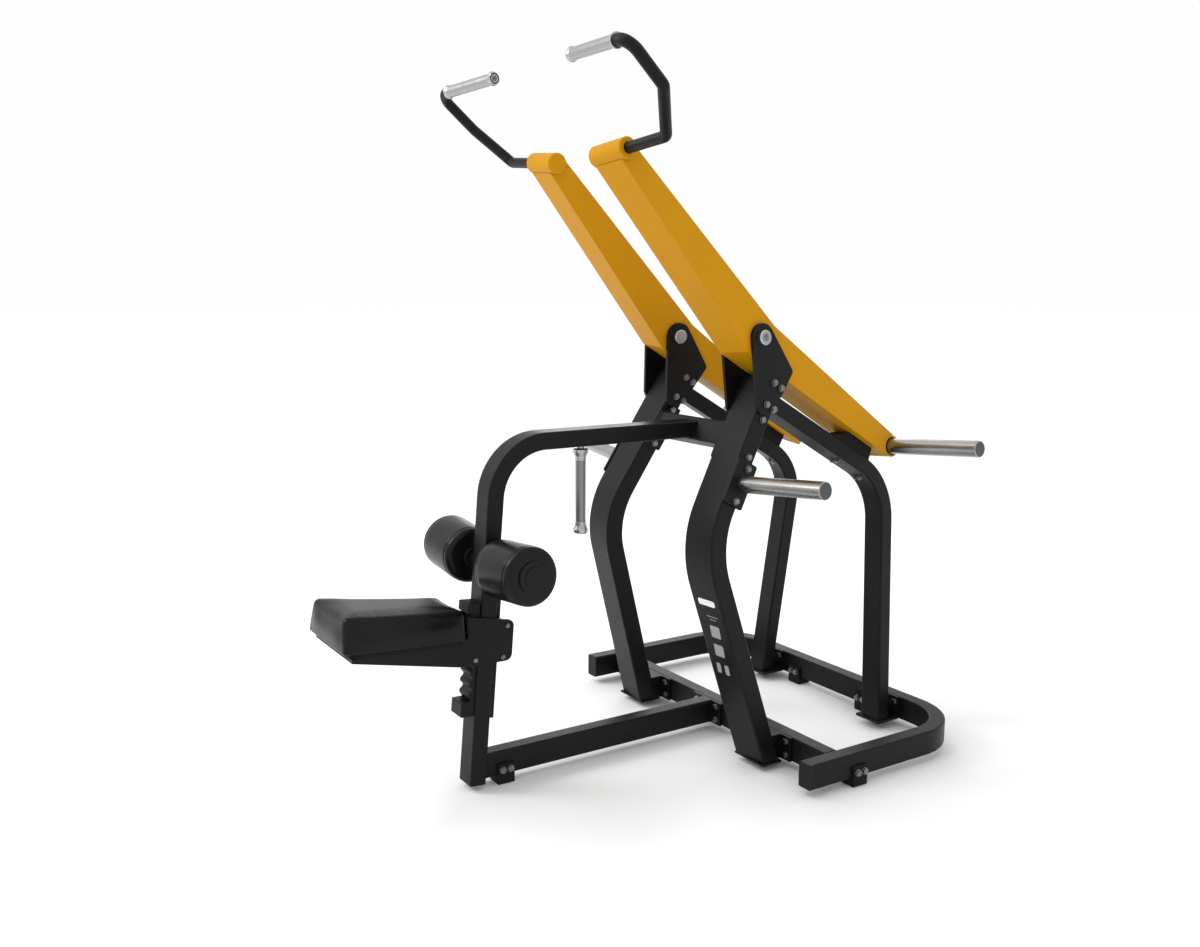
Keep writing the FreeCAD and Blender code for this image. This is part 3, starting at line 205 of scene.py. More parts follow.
def turned_steel(name, axis, centre, dark, light, roughness, painted_end_shade):
    """Turned steel bar: fine rings round its axis, faces across the axis painted darker as painted shade."""
    material, tree, shader, place = start_finish(name, Metallic=1.0)
    rounded = soft_edges(tree, 0.0012)
    run = along(tree, place, centre, axis)
    rings = noise(tree, add(tree, "ShaderNodeCombineXYZ", {0: run}).outputs["Vector"],
                  1500.0, 3.0, 0.7)
    streak = noise(tree, stretched(tree, place, 60.0, 260.0, 260.0), 1.0, 3.0)
    smear = noise(tree, place, 14.0, 4.0)
    face = add(tree, "ShaderNodeNewGeometry").outputs["Normal"]
    across = add(tree, "ShaderNodeVectorMath", {0: face, 1: tuple(axis)},
                 operation="DOT_PRODUCT").outputs["Value"]
    # faces across the axis: where the painted shade goes
    end = fit(tree, maths(tree, "ABSOLUTE", across), 0.85, 0.95, 0.0, 1.0)
    base = mix(tree, fit(tree, streak, 0.3, 0.7, 0.0, 1.0), dark, light)
    # painted shade: end faces mixed toward the darker colour
    base = mix(tree, end, base, painted_end_shade)
    gloss = maths(tree, "ADD", fit(tree, rings, 0.3, 0.7, roughness - 0.06, roughness + 0.07),
                  fit(tree, smear, 0.3, 0.7, -0.03, 0.05))
    gloss = maths(tree, "ADD", gloss, maths(tree, "MULTIPLY", end, 0.12))
    wire(tree, shader, base, gloss, bump(tree, rings, 0.12, 0.0002, rounded))
    return material


def knurled(name, axis, centre, radius, dark, light):
    """Satin aluminium with a fine diamond knurl round its axis."""
    material, tree, shader, place = start_finish(name, Metallic=1.0)
    rounded = soft_edges(tree, 0.0008)
    first = axis.orthogonal().normalized()
    second = axis.cross(first)
    run = along(tree, place, centre, axis)
    angle = maths(tree, "ARCTAN2", along(tree, place, centre, second),
                  along(tree, place, centre, first))
    round_part = maths(tree, "MULTIPLY", angle, float(KNURL_RIDGES))
    long_part = maths(tree, "MULTIPLY", run, KNURL_RIDGES / radius)
    rise = maths(tree, "ABSOLUTE", maths(tree, "SINE", maths(tree, "ADD", round_part, long_part)))
    fall = maths(tree, "ABSOLUTE",
                 maths(tree, "SINE", maths(tree, "SUBTRACT", round_part, long_part)))
    diamond = maths(tree, "MULTIPLY", rise, fall)
    smear = noise(tree, place, 30.0, 4.0)
    # the knurl's grooves are painted darker than its tops: painted shade in the grooves
    base = mix(tree, fit(tree, diamond, 0.0, 0.6, 0.0, 1.0), dark, light)
    gloss = fit(tree, smear, 0.3, 0.7, 0.3, 0.42)
    wire(tree, shader, base, gloss, bump(tree, diamond, 0.03, 0.0001, rounded))
    return material


def satin_metal(name, dark, light, roughness):
    """Plated or satin metal: faint cloud, fine scratches."""
    material, tree, shader, place = start_finish(name, Metallic=1.0)
    rounded = soft_edges(tree, 0.0007)
    edge = edge_wear(tree, rounded)
    cloud = noise(tree, place, 60.0, 4.0)
    scratch = noise(tree, stretched(tree, place, 900.0, 150.0, 400.0), 1.0, 2.0)
    base = mix(tree, fit(tree, cloud, 0.3, 0.7, 0.0, 1.0), dark, light)
    base = mix(tree, edge, base, colour(0.5, 0.5, 0.5))
    gloss = fit(tree, scratch, 0.3, 0.7, roughness - 0.06, roughness + 0.08)
    wire(tree, shader, base, gloss, bump(tree, scratch, 0.06, 0.0001, rounded))
    return material


def moulded(name, dark, light, roughness, grain, depth):
    """Moulded rubber or plastic: fine grain, dusty cloud."""
    material, tree, shader, place = start_finish(name, Specular_IOR_Level=0.18)
    rounded = soft_edges(tree, 0.001)
    edge = edge_wear(tree, rounded)
    cloud = noise(tree, place, 25.0, 4.0)
    fine = noise(tree, place, grain, 2.0)
    base = mix(tree, fit(tree, cloud, 0.3, 0.7, 0.0, 1.0), dark, light)
    base = mix(tree, maths(tree, "MULTIPLY", edge, 0.35), base, colour(0.075, 0.075, 0.075))
    gloss = fit(tree, cloud, 0.3, 0.7, roughness - 0.05, roughness + 0.06)
    wire(tree, shader, base, gloss, bump(tree, fine, 0.3, depth, rounded))
    return material


def vinyl(name, dark, light, roughness):
    """Upholstery vinyl: leather grain cells, soft wrinkles, a dull sheen."""
    material, tree, shader, place = start_finish(name, Specular_IOR_Level=0.15, Coat_Weight=0.05,
                                                  Coat_Roughness=0.15)
    cells = add(tree, "ShaderNodeTexVoronoi", {"Vector": place, "Scale": 620.0},
                feature="DISTANCE_TO_EDGE").outputs["Distance"]
    pores = fit(tree, cells, 0.0, 0.22, 0.0, 1.0)
    cloud = noise(tree, place, 9.0, 4.0)
    crease = noise(tree, place, 55.0, 3.0)
    base = mix(tree, fit(tree, cloud, 0.3, 0.7, 0.0, 1.0), dark, light)
    base = mix(tree, fit(tree, pores, 0.0, 1.0, 0.5, 0.0), base, colour(0.004, 0.004, 0.004))
    gloss = maths(tree, "ADD", fit(tree, cloud, 0.3, 0.7, roughness - 0.02, roughness + 0.03),
                  fit(tree, pores, 0.0, 1.0, 0.1, 0.0))
    soft = bump(tree, crease, 0.06, 0.0006)
    wire(tree, shader, base, gloss, bump(tree, pores, 0.22, 0.00018, soft))
    return material


def plywood(name):
    """Black-stained plywood: layers seen on the edge, grain on the face."""
    material, tree, shader, place = start_finish(name, Specular_IOR_Level=0.15)
    rounded = soft_edges(tree, 0.001)
    grain = noise(tree, stretched(tree, place, 240.0, 14.0, 60.0), 1.0, 5.0)
    height = along(tree, place, (0, 0, 0), (0, 0, 1))
    layers = fit(tree, maths(tree, "SINE", maths(tree, "MULTIPLY", height, 2400.0)),
                 -0.4, 0.4, 0.0, 1.0)
    base = mix(tree, grain, colour(0.0035, 0.0034, 0.0033), colour(0.007, 0.0066, 0.006))
    base = mix(tree, maths(tree, "MULTIPLY", layers, 0.3), base, colour(0.010, 0.009, 0.008))
    wire(tree, shader, base, fit(tree, grain, 0.3, 0.7, 0.6, 0.8),
         bump(tree, grain, 0.3, 0.0004, rounded))
    return material


# ------------------------------------------------------------------ geometry helpers

def box_centre(node):
    """Middle of a CAD node's box."""
    low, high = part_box(node)
    return (Vector(low) + Vector(high)) / 2


def long_axis(node):
    """Middle and long direction of a bar-like CAD node, from its own vertices."""
    points = [vertex.co.copy() for vertex in NODES[node].data.vertices]
    low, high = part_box(node)
    size = Vector(high) - Vector(low)
    axis = max(range(3), key=lambda index: size[index])
    limit = sorted(point[axis] for point in points)
    band = 0.1 * (limit[-1] - limit[0])
    near = [point for point in points if point[axis] < limit[0] + band]
    far = [point for point in points if point[axis] > limit[-1] - band]
    first = ring_centre(near)
    second = ring_centre(far)
    return (first + second) / 2, (second - first).normalized()


def ring_centre(points):
    """Middle of the box round some points."""
    low = Vector([min(point[index] for point in points) for index in range(3)])
    high = Vector([max(point[index] for point in points) for index in range(3)])
    return (low + high) / 2


def off_axis(point, origin, axis):
    """Distance of a point from the line through the origin along the axis."""
    return ((point - origin) - axis * (point - origin).dot(axis)).length


def furthest(points, origin, axis):
    """The furthest that points reach from the origin along the axis."""
    return max((point - origin).dot(axis) for point in points)


def new_piece(name, mesh_or_bmesh, material, body, smooth=True):
    """A named object from a mesh, with a material, riding on a CAD body."""
    if isinstance(mesh_or_bmesh, bmesh.types.BMesh):
        mesh = bpy.data.meshes.new(name)
        mesh_or_bmesh.normal_update()
        mesh_or_bmesh.to_mesh(mesh)
        mesh_or_bmesh.free()
    else:
        mesh = mesh_or_bmesh
        mesh.name = name
    piece = bpy.data.objects.new(name, mesh)
    bpy.context.scene.collection.objects.link(piece)
    mesh.materials.clear()
    mesh.materials.append(material)
    for face in mesh.polygons:
        face.use_smooth = smooth
    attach(piece, body)
    return piece


def facing(origin, axis):
    """Matrix whose local X points along an axis."""
    first = axis.normalized()
    second = first.orthogonal().normalized()
    third = first.cross(second)
    return Matrix.Translation(origin) @ Matrix((first, second, third)).transposed().to_4x4()


def lathe(profile, steps, place, shape=None):
    """Surface turned about local X from (x, radius) points; shape may change each radius."""
    work = bmesh.new()
    rings = []
    for x, radius in profile:
        if radius == 0:
            rings.append([work.verts.new(place @ Vector((x, 0, 0)))])
            continue
        ring = []
        for step in range(steps):
            angle = 2 * math.pi * step / steps
            reach = radius if shape is None else shape(x, radius, angle)
            ring.append(work.verts.new(place @ Vector((x, reach * math.cos(angle),
                                                       reach * math.sin(angle)))))
        rings.append(ring)
    for first, second in zip(rings, rings[1:]):
        for step in range(steps):
            after = (step + 1) % steps
            corners = [first[step % len(first)], first[after % len(first)],
                       second[after % len(second)], second[step % len(second)]]
            unique = [v for index, v in enumerate(corners) if v not in corners[:index]]
            if len(unique) > 2:
                work.faces.new(unique)
    bmesh.ops.recalc_face_normals(work, faces=work.faces)
    return work


# ------------------------------------------------------------------ materials on the CAD nodes

BLACK = powder_coat("black_powder_coat", colour(0.0035, 0.0035, 0.0036),
                    colour(0.0055, 0.0055, 0.0057), colour(0.045, 0.045, 0.045), 0.42, 0.17)
YELLOW = powder_coat("yellow_powder_coat", colour(0.52, 0.238, 0.0045),
                     colour(0.57, 0.264, 0.0045), colour(0.72, 0.4, 0.04), 0.4, 0.07)
ZINC = satin_metal("zinc_bolt", colour(0.1, 0.1, 0.103), colour(0.26, 0.26, 0.265), 0.27)
COLLAR = satin_metal("grip_collar", colour(0.36, 0.36, 0.36), colour(0.46, 0.46, 0.455), 0.28)
RUBBER = moulded("black_rubber", colour(0.004, 0.004, 0.004), colour(0.009, 0.009, 0.009),
                 0.72, 900.0, 0.0005)
PLASTIC = moulded("black_plastic", colour(0.004, 0.004, 0.0045), colour(0.008, 0.008, 0.0085),
                  0.48, 1400.0, 0.0002)
VINYL = vinyl("black_vinyl", colour(0.0038, 0.0038, 0.004), colour(0.0065, 0.0065, 0.007), 0.24)
PLY = plywood("seat_plywood")

FINISHES = {
    "black_powder_coat": BLACK,
    "yellow_powder_coat": YELLOW,
    "zinc_bolt": ZINC,
    "grip_aluminium": COLLAR,
    "black_rubber": RUBBER,
    "black_plastic": PLASTIC,
    "black_vinyl": VINYL,
    "plywood": PLY,
}


def bar_finish(node):
    """Material of a turned or knurled bar, which follows that bar's own axis."""
    centre, axis = long_axis(node)
    if node.startswith(("grip_sleeve", "centre_grip")):
        low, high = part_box(node)
        thick = min(Vector(high) - Vector(low)) / 2
        level = 0.55 if node == "centre_grip" else 0.89
        # the first colour is for the knurl's grooves, painted darker as painted shade
        return knurled(node + "_finish", axis, centre, thick,
                       colour(0.38 * level, 0.38 * level, 0.38 * level),
                       colour(0.43 * level, 0.43 * level, 0.425 * level))
    # the last colour is the painted shade on the bar's end faces
    return turned_steel(node + "_finish", axis, centre, colour(0.32, 0.315, 0.305),
                        colour(0.37, 0.365, 0.355), 0.29, colour(0.1, 0.1, 0.1))


def shaft_finish(node, joint):
    """Material of a pivot shaft's end caps, turned about the pivot."""
    axis = Vector(JOINTS[joint]["axis"])
    # the last colour is the painted shade on the shaft's end faces
    return turned_steel(node + "_finish", axis, box_centre(node), colour(0.45, 0.45, 0.45),
                        colour(0.62, 0.62, 0.62), 0.32, colour(0.36, 0.36, 0.37))


for part in frame["record"]["subparts"]:
    node, slot = part["node"], part["material_slot"]
    if node.startswith("pivot_shaft"):
        finish = shaft_finish(node, "arm_pull_" + node.rsplit("_", 1)[1])
    elif slot == "horn_steel" or node.startswith("grip_sleeve") or node == "centre_grip":
        finish = bar_finish(node)
    else:
        finish = FINISHES[slot]
    mesh = NODES[node].data
    if not NODES[node].material_slots:
        mesh.materials.append(finish)
    for material_slot in NODES[node].material_slots:
        material_slot.material = finish


# ------------------------------------------------------------------ seat cushion

def remeshed(mesh, voxel):
    """A voxel remesh of a mesh, as a new mesh."""
    helper = bpy.data.objects.new("remesh_helper", mesh)
    bpy.context.scene.collection.objects.link(helper)
    modifier = helper.modifiers.new("voxels", "REMESH")
    modifier.mode = "VOXEL"
    modifier.voxel_size = voxel
    view = bpy.context.evaluated_depsgraph_get()
    result = bpy.data.meshes.new_from_object(helper.evaluated_get(view))
    bpy.data.objects.remove(helper)
    return result


def shrunk(mesh, inset, keep):
    """Moves a mesh's vertices in along their normals, but for the ones that keep accepts."""
    work = bmesh.new()
    work.from_mesh(mesh)
    for _ in range(2):
        bmesh.ops.smooth_vert(work, verts=[v for v in work.verts if not keep(v.co)], factor=0.5,
                              use_axis_x=True, use_axis_y=True, use_axis_z=True)
    work.normal_update()
    moves = [(v, -v.normal * inset) for v in work.verts if not keep(v.co)]
    for vertex, move in moves:
        vertex.co += move
    work.to_mesh(mesh)
    work.free()


def evened(mesh, moves, passes):
    """Each vertex's move averaged with its neighbours' moves, so that the cover stays taut."""
    for _ in range(passes):
        total = [move.copy() for move in moves]
        count = [1] * len(moves)
        for edge in mesh.edges:
            first, second = edge.vertices
            total[first] += moves[second]
            total[second] += moves[first]
            count[first] += 1
            count[second] += 1
        moves = [move / share for move, share in zip(total, count)]
    return moves


def inflated(mesh, pressure, cap, keep):
    """Swells a closed cover with cloth pressure, no point moving further than the cap."""
    helper = bpy.data.objects.new("cloth_helper", mesh)
    bpy.context.scene.collection.objects.link(helper)
    held = helper.vertex_groups.new(name="held")
    held.add([v.index for v in mesh.vertices if keep(v.co)], 1.0, "REPLACE")
    cloth = helper.modifiers.new("cloth", "CLOTH")
    settings = cloth.settings
    settings.quality = 5
    settings.use_pressure = True
    settings.uniform_pressure_force = pressure
    settings.vertex_group_mass = "held"
    settings.effector_weights.gravity = 0.0
    cloth.collision_settings.use_collision = False
    scene = bpy.context.scene
    for frame_number in range(1, CLOTH_FRAMES + 1):
        scene.frame_set(frame_number)
    view = bpy.context.evaluated_depsgraph_get()
    swollen = helper.evaluated_get(view).to_mesh()
    moves = []
    for vertex, moved in zip(mesh.vertices, swollen.vertices):
        move = moved.co - vertex.co
        moves.append(move.normalized() * cap if move.length > cap else move)
    helper.evaluated_get(view).to_mesh_clear()
    for vertex, move in zip(mesh.vertices, evened(mesh, moves, EVENING_PASSES)):
        vertex.co = vertex.co + move
    scene.frame_set(1)
    bpy.data.objects.remove(helper)
    return mesh


def subdivided(piece, levels=1):
    """Adds a subdivision surface to a piece."""
    modifier = piece.modifiers.new("smooth", "SUBSURF")
    modifier.levels = levels
    modifier.render_levels = levels


def make_cushion():
    """Seat cushion: the CAD shape under a stretched vinyl cover, flat on its board."""
    up = Vector(JOINTS["seat_height"]["axis"]).normalized()
    cad = NODES["seat_cushion"].data
    base = min(vertex.co.dot(up) for vertex in cad.vertices)

    def sole(point):
        """Whether a point is on the cushion's underside, which stays flat."""
        return point.dot(up) < base + CUSHION_SOLE

    cover = remeshed(cad.copy(), CUSHION_VOXEL)
    shrunk(cover, CUSHION_INSET, sole)
    inflated(cover, CUSHION_PRESSURE, CUSHION_SWELL, sole)
    piece = new_piece("seat_cushion_cover", cover, VINYL, "seat_carriage")
    subdivided(piece)
    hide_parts("seat_cushion")


make_cushion()


# ------------------------------------------------------------------ foam rollers

def make_roller(word):
    """Foam roller: vinyl sleeve with end seams and one long seam, on its hub."""
    joint = JOINTS[f"roller_spin_{word}"]
    axis = Vector(joint["axis"]).normalized()
    node = f"roller_foam_{word}"
    origin = Vector(joint["pos_m"])
    points = [vertex.co for vertex in NODES[node].data.vertices]
    runs = [(point - origin).dot(axis) for point in points]
    start, end = min(runs), max(runs)
    outer = max(off_axis(point, origin, axis) for point in points)
    bore = min(off_axis(point, origin, axis) for point in points)
    length = end - start
    half = [(0.0015, bore), (0.0005, bore + 0.006), (0.0, outer - ROLLER_SHOULDER - 0.006)]
    for step in range(1, 9):
        angle = math.pi / 2 * step / 8
        half.append((ROLLER_SHOULDER * (1 - math.cos(angle)),
                     outer - ROLLER_SHOULDER + ROLLER_SHOULDER * math.sin(angle) - 0.0012))
    half += [(0.0195, outer - 0.0012), (0.0203, outer - 0.0026), (0.0213, outer - 0.0026),
             (0.0221, outer - 0.001), (0.03, outer - 0.0006)]
    crown = [(0.03 + (length - 0.06) * step / 14, outer - 0.0006) for step in range(1, 14)]
    profile = half + crown + [(length - x, radius) for x, radius in reversed(half)]

    def reach(x, radius, angle):
        """Radius with the long seam pressed in and the cover's slight waves."""
        if radius < outer - 0.004:
            return radius
        seam = 0.0014 * math.exp(-((angle - math.radians(ROLLER_SEAM_ANGLE)) / 0.018) ** 2)
        wave = 0.0003 * math.sin(5 * angle + 40 * x) * math.sin(math.pi * x / length)
        return radius - seam + wave

    work = lathe(profile, 180, facing(origin + axis * start, axis), reach)
    piece = new_piece(f"roller_cover_{word}", work, VINYL, f"roller_{word}")
    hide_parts(node)


def make_roller_cap(word):
    """Raised middle of a roller's end disc, with a soft edge."""
    joint = JOINTS[f"roller_spin_{word}"]
    axis = Vector(joint["axis"]).normalized()
    origin = Vector(joint["pos_m"])
    hub = [vertex.co for vertex in NODES[f"roller_hub_{word}"].data.vertices]
    end = furthest(hub, origin, axis)
    profile = [(-0.001, 0.0275), (0.0014, 0.0275), (0.0024, 0.0270), (0.0030, 0.0258),
               (0.0031, 0.0200), (0.0027, 0.0080), (0.0026, 0)]
    work = lathe(profile, 96, facing(origin + axis * end, axis))
    new_piece(f"roller_cap_{word}", work, PLASTIC, f"roller_{word}")


def make_grip_plug(word):
    """Plug and button screw in the free end of a grip."""
    centre, axis = long_axis(f"grip_sleeve_{word}")
    if axis.x * centre.x > 0:
        axis = -axis
    points = [vertex.co for vertex in NODES[f"grip_collars_{word}"].data.vertices]
    end = furthest(points, centre, axis)
    place = facing(centre + axis * end, axis)
    ring = [(-0.001, 0.0152), (0.0006, 0.0152), (0.0010, 0.0146), (0.0010, 0.0128),
            (0.0003, 0.0120), (-0.0004, 0.0112), (-0.0004, 0)]
    new_piece(f"grip_plug_{word}", lathe(ring, 64, place), PLASTIC, f"arm_{word}")
    screw = [(-0.001, 0.0078), (0.0010, 0.0078), (0.0022, 0.0066), (0.0028, 0.0048),
             (0.0029, 0.0034), (0.0012, 0.0030), (0.0010, 0)]
    new_piece(f"grip_screw_{word}", lathe(screw, 48, place), ZINC, f"arm_{word}")


def make_saddle_ring(word):
    """Rolled edge of the arm's side round the loading horn, with a black ring inside it between horn and rim: a
    painted shadow.
    """
    centre, axis = long_axis(f"loading_horn_{word}")
    if axis.x * centre.x < 0:
        axis = -axis
    points = [vertex.co for vertex in NODES[f"arm_shell_{word}"].data.vertices]
    near = [point for point in points if off_axis(point, centre, axis) < 0.040]
    face = furthest(near, centre, axis)
    place = facing(centre + axis * face, axis)
    rim = [(-0.0005, 0.0290), (0.0012, 0.0290), (0.0020, 0.0298), (0.0022, 0.0318),
           (0.0018, 0.0335), (0.0006, 0.0342), (-0.0005, 0.0342)]
    new_piece(f"saddle_rim_{word}", lathe(rim, 96, place), YELLOW, f"arm_{word}")
    # black ring between the horn and the rim: a painted shadow for the shade inside the rolled edge
    shadow_ring = [(-0.0004, 0.0252), (0.0003, 0.0253), (0.0003, 0.0291), (-0.0004, 0.0292)]
    new_piece(f"saddle_painted_shadow_{word}", lathe(shadow_ring, 96, place), RUBBER, f"arm_{word}")


def make_pivot_cap(word):
    """Dished cap on the outer end of a pivot shaft."""
    axis = Vector(JOINTS[f"arm_pull_{word}"]["axis"]).normalized()
    if axis.x * (1 if word == "right" else -1) < 0:
        axis = -axis
    centre = Vector(JOINTS[f"arm_pull_{word}"]["pos_m"])
    shaft = [vertex.co for vertex in NODES[f"pivot_shaft_{word}"].data.vertices]
    place = facing(centre + axis * furthest(shaft, centre, axis), axis)
    dish = [(-0.0005, 0.0105), (0.0006, 0.0104), (0.0012, 0.0095), (0.0009, 0.0080),
            (0.0003, 0.0070), (0.0003, 0)]
    new_piece(f"pivot_cap_{word}", lathe(dish, 64, place), ZINC, "frame")


def hexagon(place, flats, height):
    """Closed six-sided nut with chamfered corners, standing on local YZ."""
    work = bmesh.new()
    corner = flats / 2 / math.cos(math.radians(30))
    rings = []
    for x, radius in ((0.0, corner), (height * 0.75, corner), (height, corner * 0.88)):
        rings.append([work.verts.new(place @ Vector((x, radius * math.cos(math.radians(a)),
                                                     radius * math.sin(math.radians(a)))))
                      for a in range(0, 360, 60)])
    for first, second in zip(rings, rings[1:]):
        for step in range(6):
            after = (step + 1) % 6
            work.faces.new((first[step], first[after], second[after], second[step]))
    work.faces.new(list(reversed(rings[0])))
    work.faces.new(rings[-1])
    bmesh.ops.recalc_face_normals(work, faces=work.faces)
    return work


def make_bumper_nuts(word):
    """Two pairs of nuts under the sloping tube, on the screws that hold the bumper."""
    low, high = (Vector(corner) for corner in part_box(f"bumper_{word}"))
    post = NODES[f"rear_post_{word}"]
    middle = (low + high) / 2
    for number, share in enumerate((0.25, 0.85)):
        for column, aside in enumerate((-0.011, 0.011)):
            start = Vector((middle.x + aside, low.y + (high.y - low.y) * share, low.z - 0.4))
            found, spot, normal, _ = post.ray_cast(start, Vector((0, 0, 1)))
            if not found:
                continue
            if normal.z > 0:
                normal = -normal
            place = facing(spot, normal)
            washer = [(-0.0005, 0.0085), (0.0012, 0.0085), (0.0016, 0.0080), (0.0016, 0)]
            new_piece(f"bumper_washer_{word}_{number}_{column}", lathe(washer, 40, place), ZINC,
                      "frame")
            nut = hexagon(place @ Matrix.Translation((0.0014, 0, 0)), 0.011, 0.006)
            new_piece(f"bumper_nut_{word}_{number}_{column}", nut, ZINC, "frame",
                      smooth=False)


for side in SIDES:
    make_roller(side)
    make_roller_cap(side)
    make_grip_plug(side)
    make_saddle_ring(side)
    make_pivot_cap(side)
    make_bumper_nuts(side)


# ------------------------------------------------------------------ blank plates on the upright

def front_face(node, level):
    """The forward face of an upright at a height: (middle of the face there, down, across, out)."""
    mesh = NODES[node].data
    crossing = []
    for face in mesh.polygons:
        tops = [mesh.vertices[index].co.z for index in face.vertices]
        if face.normal.y < -0.6 and min(tops) < level < max(tops):
            crossing.append(face)
    largest = max(face.area for face in crossing)
    best = min((face for face in crossing if face.area > 0.3 * largest),
               key=lambda face: sum(mesh.vertices[index].co.y for index in face.vertices))
    out = best.normal.copy()
    across = Vector((0, 0, 1)).cross(out).normalized() * -1
    down = across.cross(out).normalized()
    if down.z > 0:
        down = -down
    same = [f for f in mesh.polygons if f.normal.dot(out) > 0.999
            and abs((f.center - best.center).dot(out)) < 0.0005]
    spots = []
    for f in same:
        for first, second in f.edge_keys:
            a, b = mesh.vertices[first].co, mesh.vertices[second].co
            if (a.z - level) * (b.z - level) < 0:
                share = (level - a.z) / (b.z - a.z)
                spots.append(a.lerp(b, share))
    sides = sorted(spots, key=lambda point: point.dot(across))
    return (sides[0] + sides[-1]) / 2, down, across, out


def rounded_plate(width, height, corner, thick, place, bevel=0.0004):
    """A thin plate with rounded corners, its face in local XY and its back on the surface."""
    work = bmesh.new()
    ring = []
    for quarter, (sx, sy) in enumerate(((1, 1), (-1, 1), (-1, -1), (1, -1))):
        centre = Vector((sx * (width / 2 - corner), sy * (height / 2 - corner), 0))
        for step in range(9):
            angle = math.pi / 2 * (quarter + step / 8)
            ring.append(centre + Vector((math.cos(angle), math.sin(angle), 0)) * corner)
    low = [work.verts.new(place @ point) for point in ring]
    rim = [work.verts.new(place @ (point + Vector((0, 0, thick - bevel)))) for point in ring]
    inner = [point * (1 - 2 * bevel / min(width, height)) for point in ring]
    top = [work.verts.new(place @ (point + Vector((0, 0, thick)))) for point in inner]
    for first, second in ((low, rim), (rim, top)):
        for index in range(len(ring)):
            after = (index + 1) % len(ring)
            work.faces.new((first[index], first[after], second[after], second[index]))
    work.faces.new(top)
    work.faces.new(list(reversed(low)))
    bmesh.ops.recalc_face_normals(work, faces=work.faces)
    return work


def printed(name, dark, light, roughness):
    """Printed vinyl film: faint speckle under a satin face."""
    material, tree, shader, place = start_finish(name, Specular_IOR_Level=0.12)
    speck = noise(tree, place, 700.0, 2.0)
    cloud = noise(tree, place, 40.0, 3.0)
    base = mix(tree, fit(tree, speck, 0.35, 0.65, 0.0, 1.0), dark, light)
    wire(tree, shader, base, fit(tree, cloud, 0.3, 0.7, roughness - 0.05, roughness + 0.05),
         bump(tree, speck, 0.08, 0.0001))
    return material


FILM_DARK = printed("film_dark", colour(0.005, 0.005, 0.0055), colour(0.009, 0.009, 0.01), 0.35)
FILM_GREY = printed("film_grey", colour(0.24, 0.24, 0.24), colour(0.36, 0.36, 0.355), 0.4)
FILM_PALE = printed("film_pale", colour(0.78, 0.78, 0.77), colour(0.88, 0.88, 0.87), 0.4)


def plate_place(centre, down, across, out, sideways, lower):
    """Placement of a plate on a face: local X across, Y up, Z out."""
    origin = centre + across * sideways + down * lower
    axes = Matrix((across, -down, out)).transposed().to_4x4()
    return Matrix.Translation(origin) @ axes


def make_plates(word):
    """Blank badge and a dark film with plain pale fields on an upright's front."""
    node = f"upright_{word}"
    body = "frame"
    place = plate_place(*front_face(node, BADGE_HEIGHT), 0.0, 0.0)
    new_piece(f"badge_{word}", rounded_plate(0.070, 0.020, 0.0065, 0.0005, place), FILM_PALE,
              body, smooth=False)
    panel = front_face(node, FILM_HEIGHT)
    place = plate_place(*panel, 0.0, 0.0)
    new_piece(f"film_{word}", rounded_plate(0.088, 0.236, 0.006, FILM_THICK, place), FILM_DARK,
              body, smooth=False)
    fields = ((0.0, -0.050, 0.040, 0.040), (0.0, 0.012, 0.040, 0.040),
              (-0.017, 0.074, 0.018, 0.034), (0.017, 0.074, 0.018, 0.034))
    for number, (sideways, lower, wide, tall) in enumerate(fields):
        field = plate_place(*panel, sideways, lower) @ Matrix.Translation((0, 0, FILM_THICK))
        new_piece(f"film_field_{word}_{number}", rounded_plate(wide, tall, 0.005, 0.0002, field),
                  FILM_GREY, body, smooth=False)
    for number, lower in enumerate((-0.100, -0.090)):
        field = plate_place(*panel, 0.0, lower) @ Matrix.Translation((0, 0, FILM_THICK))
        new_piece(f"film_line_{word}_{number}",
                  rounded_plate(0.050 - 0.02 * number, 0.0028, 0.0013, 0.0002, field),
                  FILM_GREY, body, smooth=False)


make_plates("right")


# ------------------------------------------------------------------ stage, light and camera

def make_floor():
    """Plain pale floor under the machine."""
    mesh = bpy.data.meshes.new("floor")
    work = bmesh.new()
    bmesh.ops.create_grid(work, x_segments=4, y_segments=4, size=FLOOR_SIZE)
    work.to_mesh(mesh)
    work.free()
    floor = bpy.data.objects.new("floor", mesh)
    bpy.context.scene.collection.objects.link(floor)
    floor.location.z = CAD_BOX[0][2] - FLOOR_GAP
    material, tree, shader, place = start_finish("floor", Specular_IOR_Level=0.1)
    cloud = noise(tree, place, 1.5, 3.0)
    base = mix(tree, cloud, colour(0.86, 0.86, 0.86), colour(0.9, 0.9, 0.9))
    tree.links.new(base, shader.inputs["Base Color"])
    shader.inputs["Roughness"].default_value = 0.85
    mesh.materials.append(material)


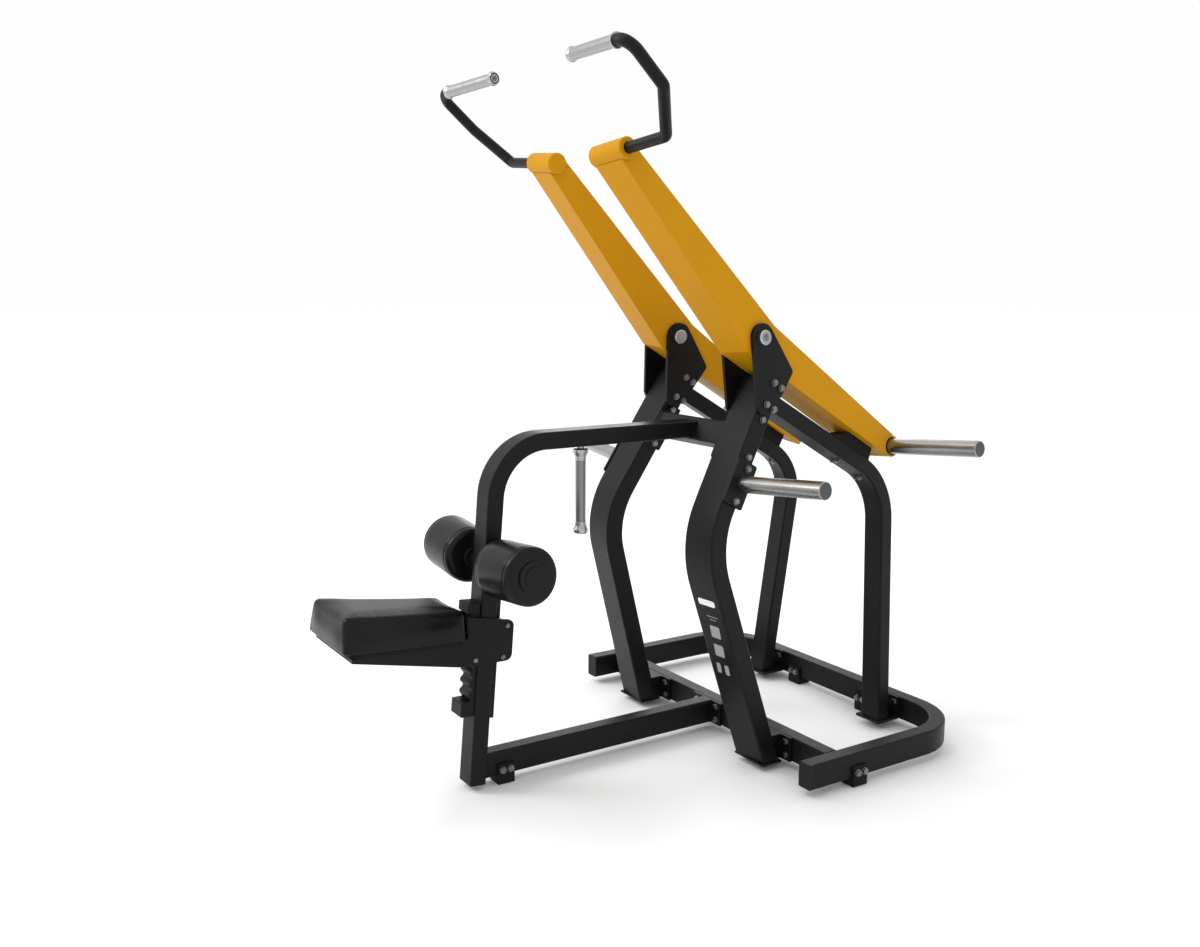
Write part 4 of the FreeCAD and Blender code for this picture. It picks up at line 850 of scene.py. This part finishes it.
def area_light(name, place, target, size, power):
    """A square soft box aimed at a point."""
    light = bpy.data.lights.new(name, "AREA")
    light.shape = "SQUARE"
    light.size = size
    light.energy = power
    item = bpy.data.objects.new(name, light)
    item.location = place
    item.rotation_euler = (Vector(target) - Vector(place)).to_track_quat("-Z", "Y").to_euler()
    bpy.context.scene.collection.objects.link(item)


def sun_light(name, towards, spread, power):
    """Wide soft light from far away, the same over the whole floor."""
    light = bpy.data.lights.new(name, "SUN")
    light.angle = math.radians(spread)
    light.energy = power
    item = bpy.data.objects.new(name, light)
    item.rotation_euler = Vector(towards).to_track_quat("Z", "Y").to_euler()
    bpy.context.scene.collection.objects.link(item)


def make_world(strength):
    """Even white surroundings."""
    world = bpy.data.worlds.new("studio")
    world.use_nodes = True
    background = world.node_tree.nodes["Background"]
    background.inputs["Color"].default_value = colour(1.0, 1.0, 1.0)
    background.inputs["Strength"].default_value = strength
    bpy.context.scene.world = world


def make_camera():
    """Camera at the right of the seat, looking across the machine and a little down."""
    yaw = math.radians(CAMERA_YAW)
    pitch = math.radians(CAMERA_PITCH)
    roll = math.radians(CAMERA_ROLL)
    forward = Vector((-math.sin(yaw) * math.cos(pitch), math.cos(yaw) * math.cos(pitch),
                      math.sin(pitch)))
    right = Vector((math.cos(yaw), math.sin(yaw), 0))
    upward = right.cross(forward)
    level_right = right * math.cos(roll) + upward * math.sin(roll)
    level_up = upward * math.cos(roll) - right * math.sin(roll)
    data = bpy.data.cameras.new("camera")
    data.sensor_fit = "HORIZONTAL"
    data.sensor_width = 36.0
    data.lens = CAMERA_LENS
    data.clip_end = 200.0
    camera = bpy.data.objects.new("camera", data)
    turn = Matrix((level_right, level_up, -forward)).transposed().to_4x4()
    camera.matrix_world = Matrix.Translation(CAMERA_PLACE) @ turn
    bpy.context.scene.collection.objects.link(camera)
    bpy.context.scene.camera = camera


make_floor()
make_world(WORLD_STRENGTH)
sun_light("sky", (-0.35, -0.6, 1.0), 40.0, 0.85)
area_light("key", (-2.4, -3.6, 3.4), (0, 0, 1.1), 1.2, 70.0)
area_light("rear", (-3.0, 2.4, 2.2), (0, 0, 1.0), 2.0, 30.0)
make_camera()
bpy.context.scene.view_settings.view_transform = "Standard"
